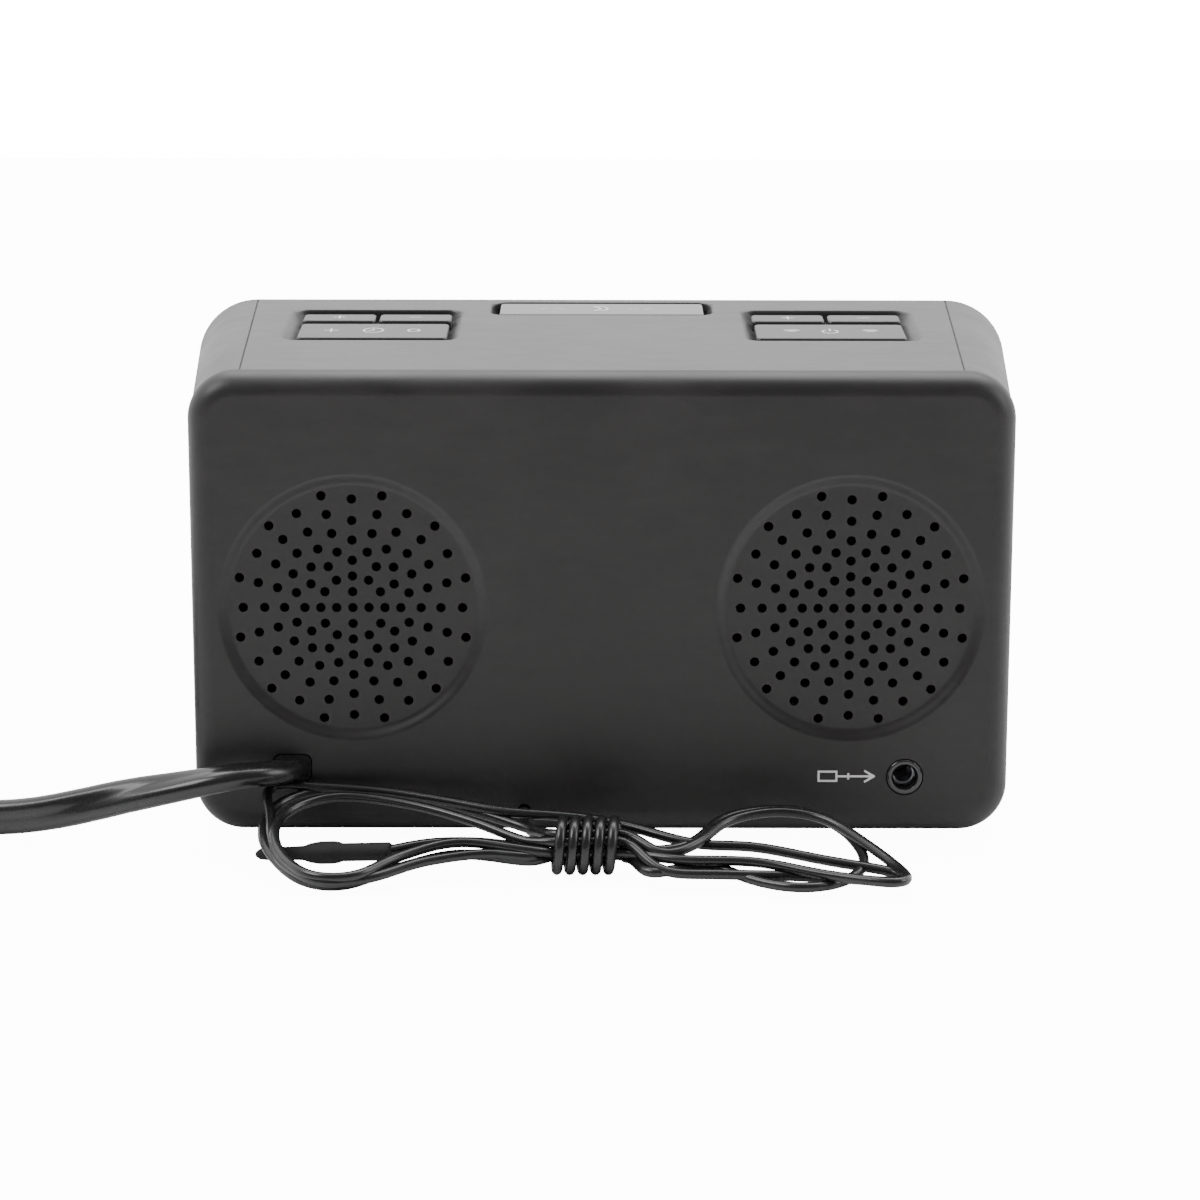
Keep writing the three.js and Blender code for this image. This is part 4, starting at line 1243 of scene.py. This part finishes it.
@dataclass
class Cabinet:
    """The tapered cabinet: a sloping top with three key recesses, and a fine seam on each side.

    Attributes:
        steps: Chords in a corner.
        seam: Width and depth of the seam where the top meets a corner, in millimetres.
        soften: The radius of the rear rim's edge.
    """

    steps: int = 18
    seam: tuple[float, float] = (0.34, 0.22)
    soften: float = 0.35

    def ring(self, t: float, inset: float, back: float) -> np.ndarray:
        """Gives the section at a share t of the way from the rear rim to the front rim.

        It is a rounded rectangle from one seam clockwise to the other; sizes go linearly with t.

        Args:
            t: 0 at the rear rim, 1 at the front rim.
            inset: How far the section is drawn in.
            back: How far behind the cabinet's own line it lies.

        Returns:
            An array of (n, 3).
        """
        width = RIM_WIDTH + (FRONT_WIDTH - RIM_WIDTH) * t - 2 * inset
        height = RIM_HEIGHT + (FRONT_HEIGHT - RIM_HEIGHT) * t - 2 * inset
        r = COVER_CORNER + (FRONT_CORNER - COVER_CORNER) * t - inset
        z = FLOOR_Z + inset + height / 2
        corner = rounded(width, height, r, self.steps, (0, z)).reshape(4, self.steps + 1, 2)[:, ::-1]
        arcs = np.concatenate([corner[0], corner[3], corner[2], corner[1]])
        gap, deep = self.seam
        top, x = z + height / 2, width / 2 - r
        right = np.array([(x - gap, top), (x - gap / 2, top - deep)])
        left = np.array([(-x + gap / 2, top - deep), (-x + gap, top)])
        flat = np.concatenate([right, arcs, left])
        return np.insert(flat, 1, RIM_REAR_Y - CABINET_DEPTH * t + back, axis=1)

    def build(self) -> None:
        """Makes the cabinet's shell."""
        skin = Skin()
        s = self.soften
        lead = s / CABINET_DEPTH
        bend = np.linspace(0, math.pi / 2, 5)
        rear = [self.ring(lead * math.sin(a), s * (1 - math.sin(a)), 0.0) for a in bend]
        for ring, a in zip(rear, bend):
            ring[:, 1] = RIM_REAR_Y - s * (1 - math.cos(a))
        mouth = self.ring(0, 2.2, -0.2)
        skin.grid(np.stack([mouth, *rear]), flip=True)
        shares = np.linspace(lead, 1, 9)
        sides = np.stack([self.ring(t, 0.0, 0.0) for t in shares])
        sides[0] = rear[-1]
        skin.grid(sides, closed=False, flip=True)
        run = (sides[:, 0, 1] - RIM_REAR_Y) / -math.cos(SLOPE)
        right = np.stack([sides[:, 0, 0], run], axis=-1)
        left = np.stack([sides[:, -1, 0], run], axis=-1)[::-1]
        deck = [np.concatenate([right, left])]
        for recess in RECESSES:
            self.recess(skin, recess, deck)
        skin.plate(deck, on_deck, flip=True)
        skin.grid(np.stack([sides[-1], self.ring(1, 2.2, 0.2)]), flip=True)
        piece = skin.object("cabinet_shell", thick=0.8, sharp=32)
        dress(piece, "cabinet_plastic", Body.RADIO, ["cabinet"])

    def recess(self, skin: Skin, recess: Recess, deck: list[np.ndarray]) -> None:
        """Adds one recess: a softened edge, drafted sides, a floor, and wells for its keys.

        Args:
            skin: The surface that it is added to.
            recess: The recess.
            deck: The deck's loops, which its edge joins.
        """
        at = (recess.x, (recess.near + recess.far) / 2)
        long = recess.far - recess.near
        share = np.array([0.0, 0.03, 0.1, 0.22, 0.6, 1.0])
        grow = np.array([0.3, 0.14, 0.03, 0.0, 0.0, 0.0])
        rings = []
        for d, g in zip(share, grow):
            corner = 3.0 - 1.9 * d
            outline = rounded(recess.width - 2 * recess.draft * d + 2 * g, long + 2 * g, corner, 8, at)
            rings.append(np.insert(outline, 2, -recess.deep * d, axis=1))
        deck.append(rings[0][:, :2])
        skin.grid(on_deck(np.stack(rings)), flip=True)
        floor = [rings[-1][:, :2]]
        for x, near, far, width in WELLS:
            if abs(x - recess.x) > 1 or not recess.near < near < recess.far:
                continue
            well = rounded(width, far - near, 1.0, 4, (x, (near + far) / 2))
            floor.append(well)
            depth = [-recess.deep, -recess.deep - 2.2]
            skin.grid(on_deck(np.stack([np.insert(well, 2, n, axis=1) for n in depth])), flip=True)
        skin.plate(floor, lambda p: on_deck(p - np.array([0, 0, recess.deep])), flip=True)


@dataclass
class KeyCap:
    """A key's cap: straight sides and a rounded upper edge round a flat top.

    Attributes:
        key: The key.
        top: The height of its top over the deck, in millimetres.
        foot: The height of its foot over the deck.
        edge: The radius of its upper edge.
        corner: The radius of its corners, seen from above.
    """

    key: Key
    top: float = KEY_TOP
    foot: float = -4.6
    edge: float = 0.5
    corner: float = 0.8

    def build(self) -> None:
        """Makes the cap."""
        key = self.key
        at = (key.x, (key.near + key.far) / 2)
        bend = np.linspace(0, math.pi / 2, 6)
        insets = [0.0, *(self.edge * (1 - np.cos(bend)))]
        heights = [self.foot, *(self.top - self.edge * (1 - np.sin(bend)))]
        long = key.far - key.near
        rings = []
        for inset, height in zip(insets, heights):
            corner = self.corner * (1 - inset)
            outline = rounded(key.width - 2 * inset, long - 2 * inset, corner, 5, at)
            rings.append(np.insert(outline, 2, height, axis=1))
        cap = Skin().loft(on_deck(np.stack(rings)))
        piece = cap.object(f"{key.body.value}_cap", recalculate=True)
        dress(piece, key.finish, key.body, [key.body.value])


class Legends:
    """The pictograms painted on the keys, to be read from the display side."""

    def build(self) -> None:
        """Paints each key's pictogram."""
        place: Place = lambda p: on_deck(p + np.array([0, 0, KEY_TOP]))
        power = Strokes(LEGEND_WIDTH)
        power.arc((-40.1, 29.6), 1.35, 130, 410)
        power.line(np.array([(-40.1, 30.0), (-40.1, 31.6)]))
        for x in (-47.2, -33.4):
            for r in (0.7, 1.35, 2.0):
                power.arc((x, 29.0), r, 50, 130)
        power.build("power_mark", place, LEGEND_LIFT, Body.POWER)
        clock = Strokes(LEGEND_WIDTH)
        clock.arc((40.1, 30.0), 1.7, 0, 360)
        clock.line(np.array([(40.1, 31.0), (40.1, 30.0), (40.95, 29.6)]))
        clock.line(np.array([(46.4, 30.0), (48.6, 30.0)]))
        clock.line(np.array([(47.5, 28.9), (47.5, 31.1)]))
        clock.arc((33.0, 30.0), 1.0, 0, 360)
        clock.build("time_mark", place, LEGEND_LIFT, Body.TIME)
        moon = Strokes(LEGEND_WIDTH)
        moon.arc((0.6, 47.6), 1.7, 60, 300)
        moon.arc((1.7, 47.6), 1.45, 98, 262)
        for x in (-9.0, -6.4, 7.0, 9.6):
            moon.line(np.array([(x, 47.2), (x + 1.2, 47.2)]))
        moon.build("snooze_mark", place, LEGEND_LIFT, Body.SNOOZE)
        for body, x, cross in (
            (Body.VOLUME_DOWN, -46.9, False),
            (Body.VOLUME_UP, -33.3, True),
            (Body.HOUR, 33.3, False),
            (Body.MINUTE, 46.9, True),
        ):
            mark = Strokes(SMALL_LEGEND_WIDTH)
            mark.line(np.array([(x - 1.0, 40.4), (x + 1.0, 40.4)]))
            if cross:
                mark.line(np.array([(x, 39.4), (x, 41.4)]))
            mark.build(f"{body.value}_mark", place, LEGEND_LIFT, body)


# ------------------------------------------------------------------ front
@dataclass
class Front:
    """The front: a polished bezel round a tinted window with lit digits.

    Attributes:
        edge: The radius of the bezel's rounded edge in millimetres.
        digits: What the display shows.
        pane: The window's width and height in millimetres.
        pane_corner: The radius of its corners.
        digit: A digit's width and height, between the middles of its bars.
        bar: A bar's width.
        bar_gap: How much shorter a bar is than the side that it lies on.
    """

    edge: float = 3.0
    digits: str = "10:08"
    pane: tuple[float, float] = (124.0, 54.0)
    pane_corner: float = 4.0
    digit: tuple[float, float] = (15.0, 28.0)
    bar: float = 2.2
    bar_gap: float = 1.2

    def bezel(self) -> None:
        """Makes the bezel's shell."""
        middle = FLOOR_Z + FRONT_HEIGHT / 2
        low, _ = node_box("display_window")
        rim = RIM_FRONT_Y - JOINT_GAP
        bend = np.linspace(0, math.pi / 2, 12)
        insets = np.concatenate([[0.9, 0.0], self.edge * (1 - np.cos(bend))])
        ys = np.concatenate([[rim, rim], FRONT_Y + self.edge * (1 - np.sin(bend))])
        loops = [
            rounded(FRONT_WIDTH - 2 * i, FRONT_HEIGHT - 2 * i, FRONT_CORNER - i, 16, (0, middle))
            for i in insets
        ]
        skin = Skin()
        skin.grid(np.stack([np.insert(o, 1, y, axis=1) for o, y in zip(loops, ys)]))
        skin.plate([loops[-1], rounded(*self.pane, self.pane_corner, 10, (0, middle))], xz(FRONT_Y))
        piece = skin.object("front_shell", thick=1.4, sharp=40)
        dress(piece, "bezel_gloss", Body.RADIO, ["front_bezel"])
        depth = [float(low[1]) + 1.6, float(low[1]) + 0.25, float(low[1])]
        inset = [0.35, 0.35, 0.6]
        pane_width, pane_height = self.pane
        rings = []
        for i, y in zip(inset, depth):
            outline = rounded(pane_width - 2 * i, pane_height - 2 * i, self.pane_corner - i, 10, (0, middle))
            rings.append(np.insert(outline, 1, y, axis=1))
        window = Skin().loft(np.stack(rings)).object("window_pane", recalculate=True)
        dress(window, "window_tint", Body.RADIO, ["display_window"])

    def segments(self) -> None:
        """Makes the digits, each of seven bars, and the two dots between hours and minutes."""
        low, _ = node_box("display_window")
        lit = {"0": "abcdef", "1": "bc", "8": "abcdefg"}
        w, h = self.digit
        bars = {
            "a": ((0, h), (w, h)),
            "b": ((w, h / 2), (w, h)),
            "c": ((w, 0), (w, h / 2)),
            "d": ((0, 0), (w, 0)),
            "e": ((0, 0), (0, h / 2)),
            "f": ((0, h / 2), (0, h)),
            "g": ((0, h / 2), (w, h / 2)),
        }
        base = FLOOR_Z + FRONT_HEIGHT / 2 - h / 2
        skin = Skin()
        left = -45.0
        y = float(low[1]) - 0.04
        for sign in self.digits:
            if sign == ":":
                dots = [rounded(2.6, 2.6, 0.6, 3, (left + 1.3, base + h * s)) for s in (0.3, 0.7)]
                shapes, step = dots, 9.0
            else:
                shapes, step = [], w + 8.0
                for bar in lit[sign]:
                    (x0, z0), (x1, z1) = bars[bar]
                    across, up = abs(x1 - x0) - self.bar_gap, abs(z1 - z0) - self.bar_gap
                    size = (across, self.bar) if z0 == z1 else (self.bar, up)
                    at = (left + (x0 + x1) / 2, base + (z0 + z1) / 2)
                    shapes.append(rounded(*size, 0.8, 3, at))
            for shape in shapes:
                ring = np.insert(shape, 1, y, axis=1)
                back = np.insert(shape, 1, y + 0.06, axis=1)
                skin.loft(np.stack([back, ring]))
            left += step
        piece = skin.object("display_digits", recalculate=True)
        dress(piece, "digits", Body.RADIO)

    def build(self) -> None:
        """Makes the front."""
        self.bezel()
        self.segments()


class Inside:
    """The CAD nodes that keep their own shape, each in its finish."""

    def build(self) -> None:
        """Dresses every CAD node by the slot that the record gives it."""
        slots = {part["node"]: part["material_slot"] for part in frame["record"]["subparts"]}
        for name, node in sorted(frame["nodes"].items()):
            dress(node, slots[name])


def main() -> None:
    """Builds the radio, sub-assembly by sub-assembly."""
    logging.basicConfig(level=logging.INFO, format="%(name)s: %(message)s")
    Studio().build()
    Inside().build()
    MainsLead().build()
    WireAerial().build()
    RearCover().build()
    Socket().build()
    Cabinet().build()
    for key in KEYS:
        KeyCap(key).build()
    Legends().build()
    Front().build()


if __name__ == "__main__":
    main()
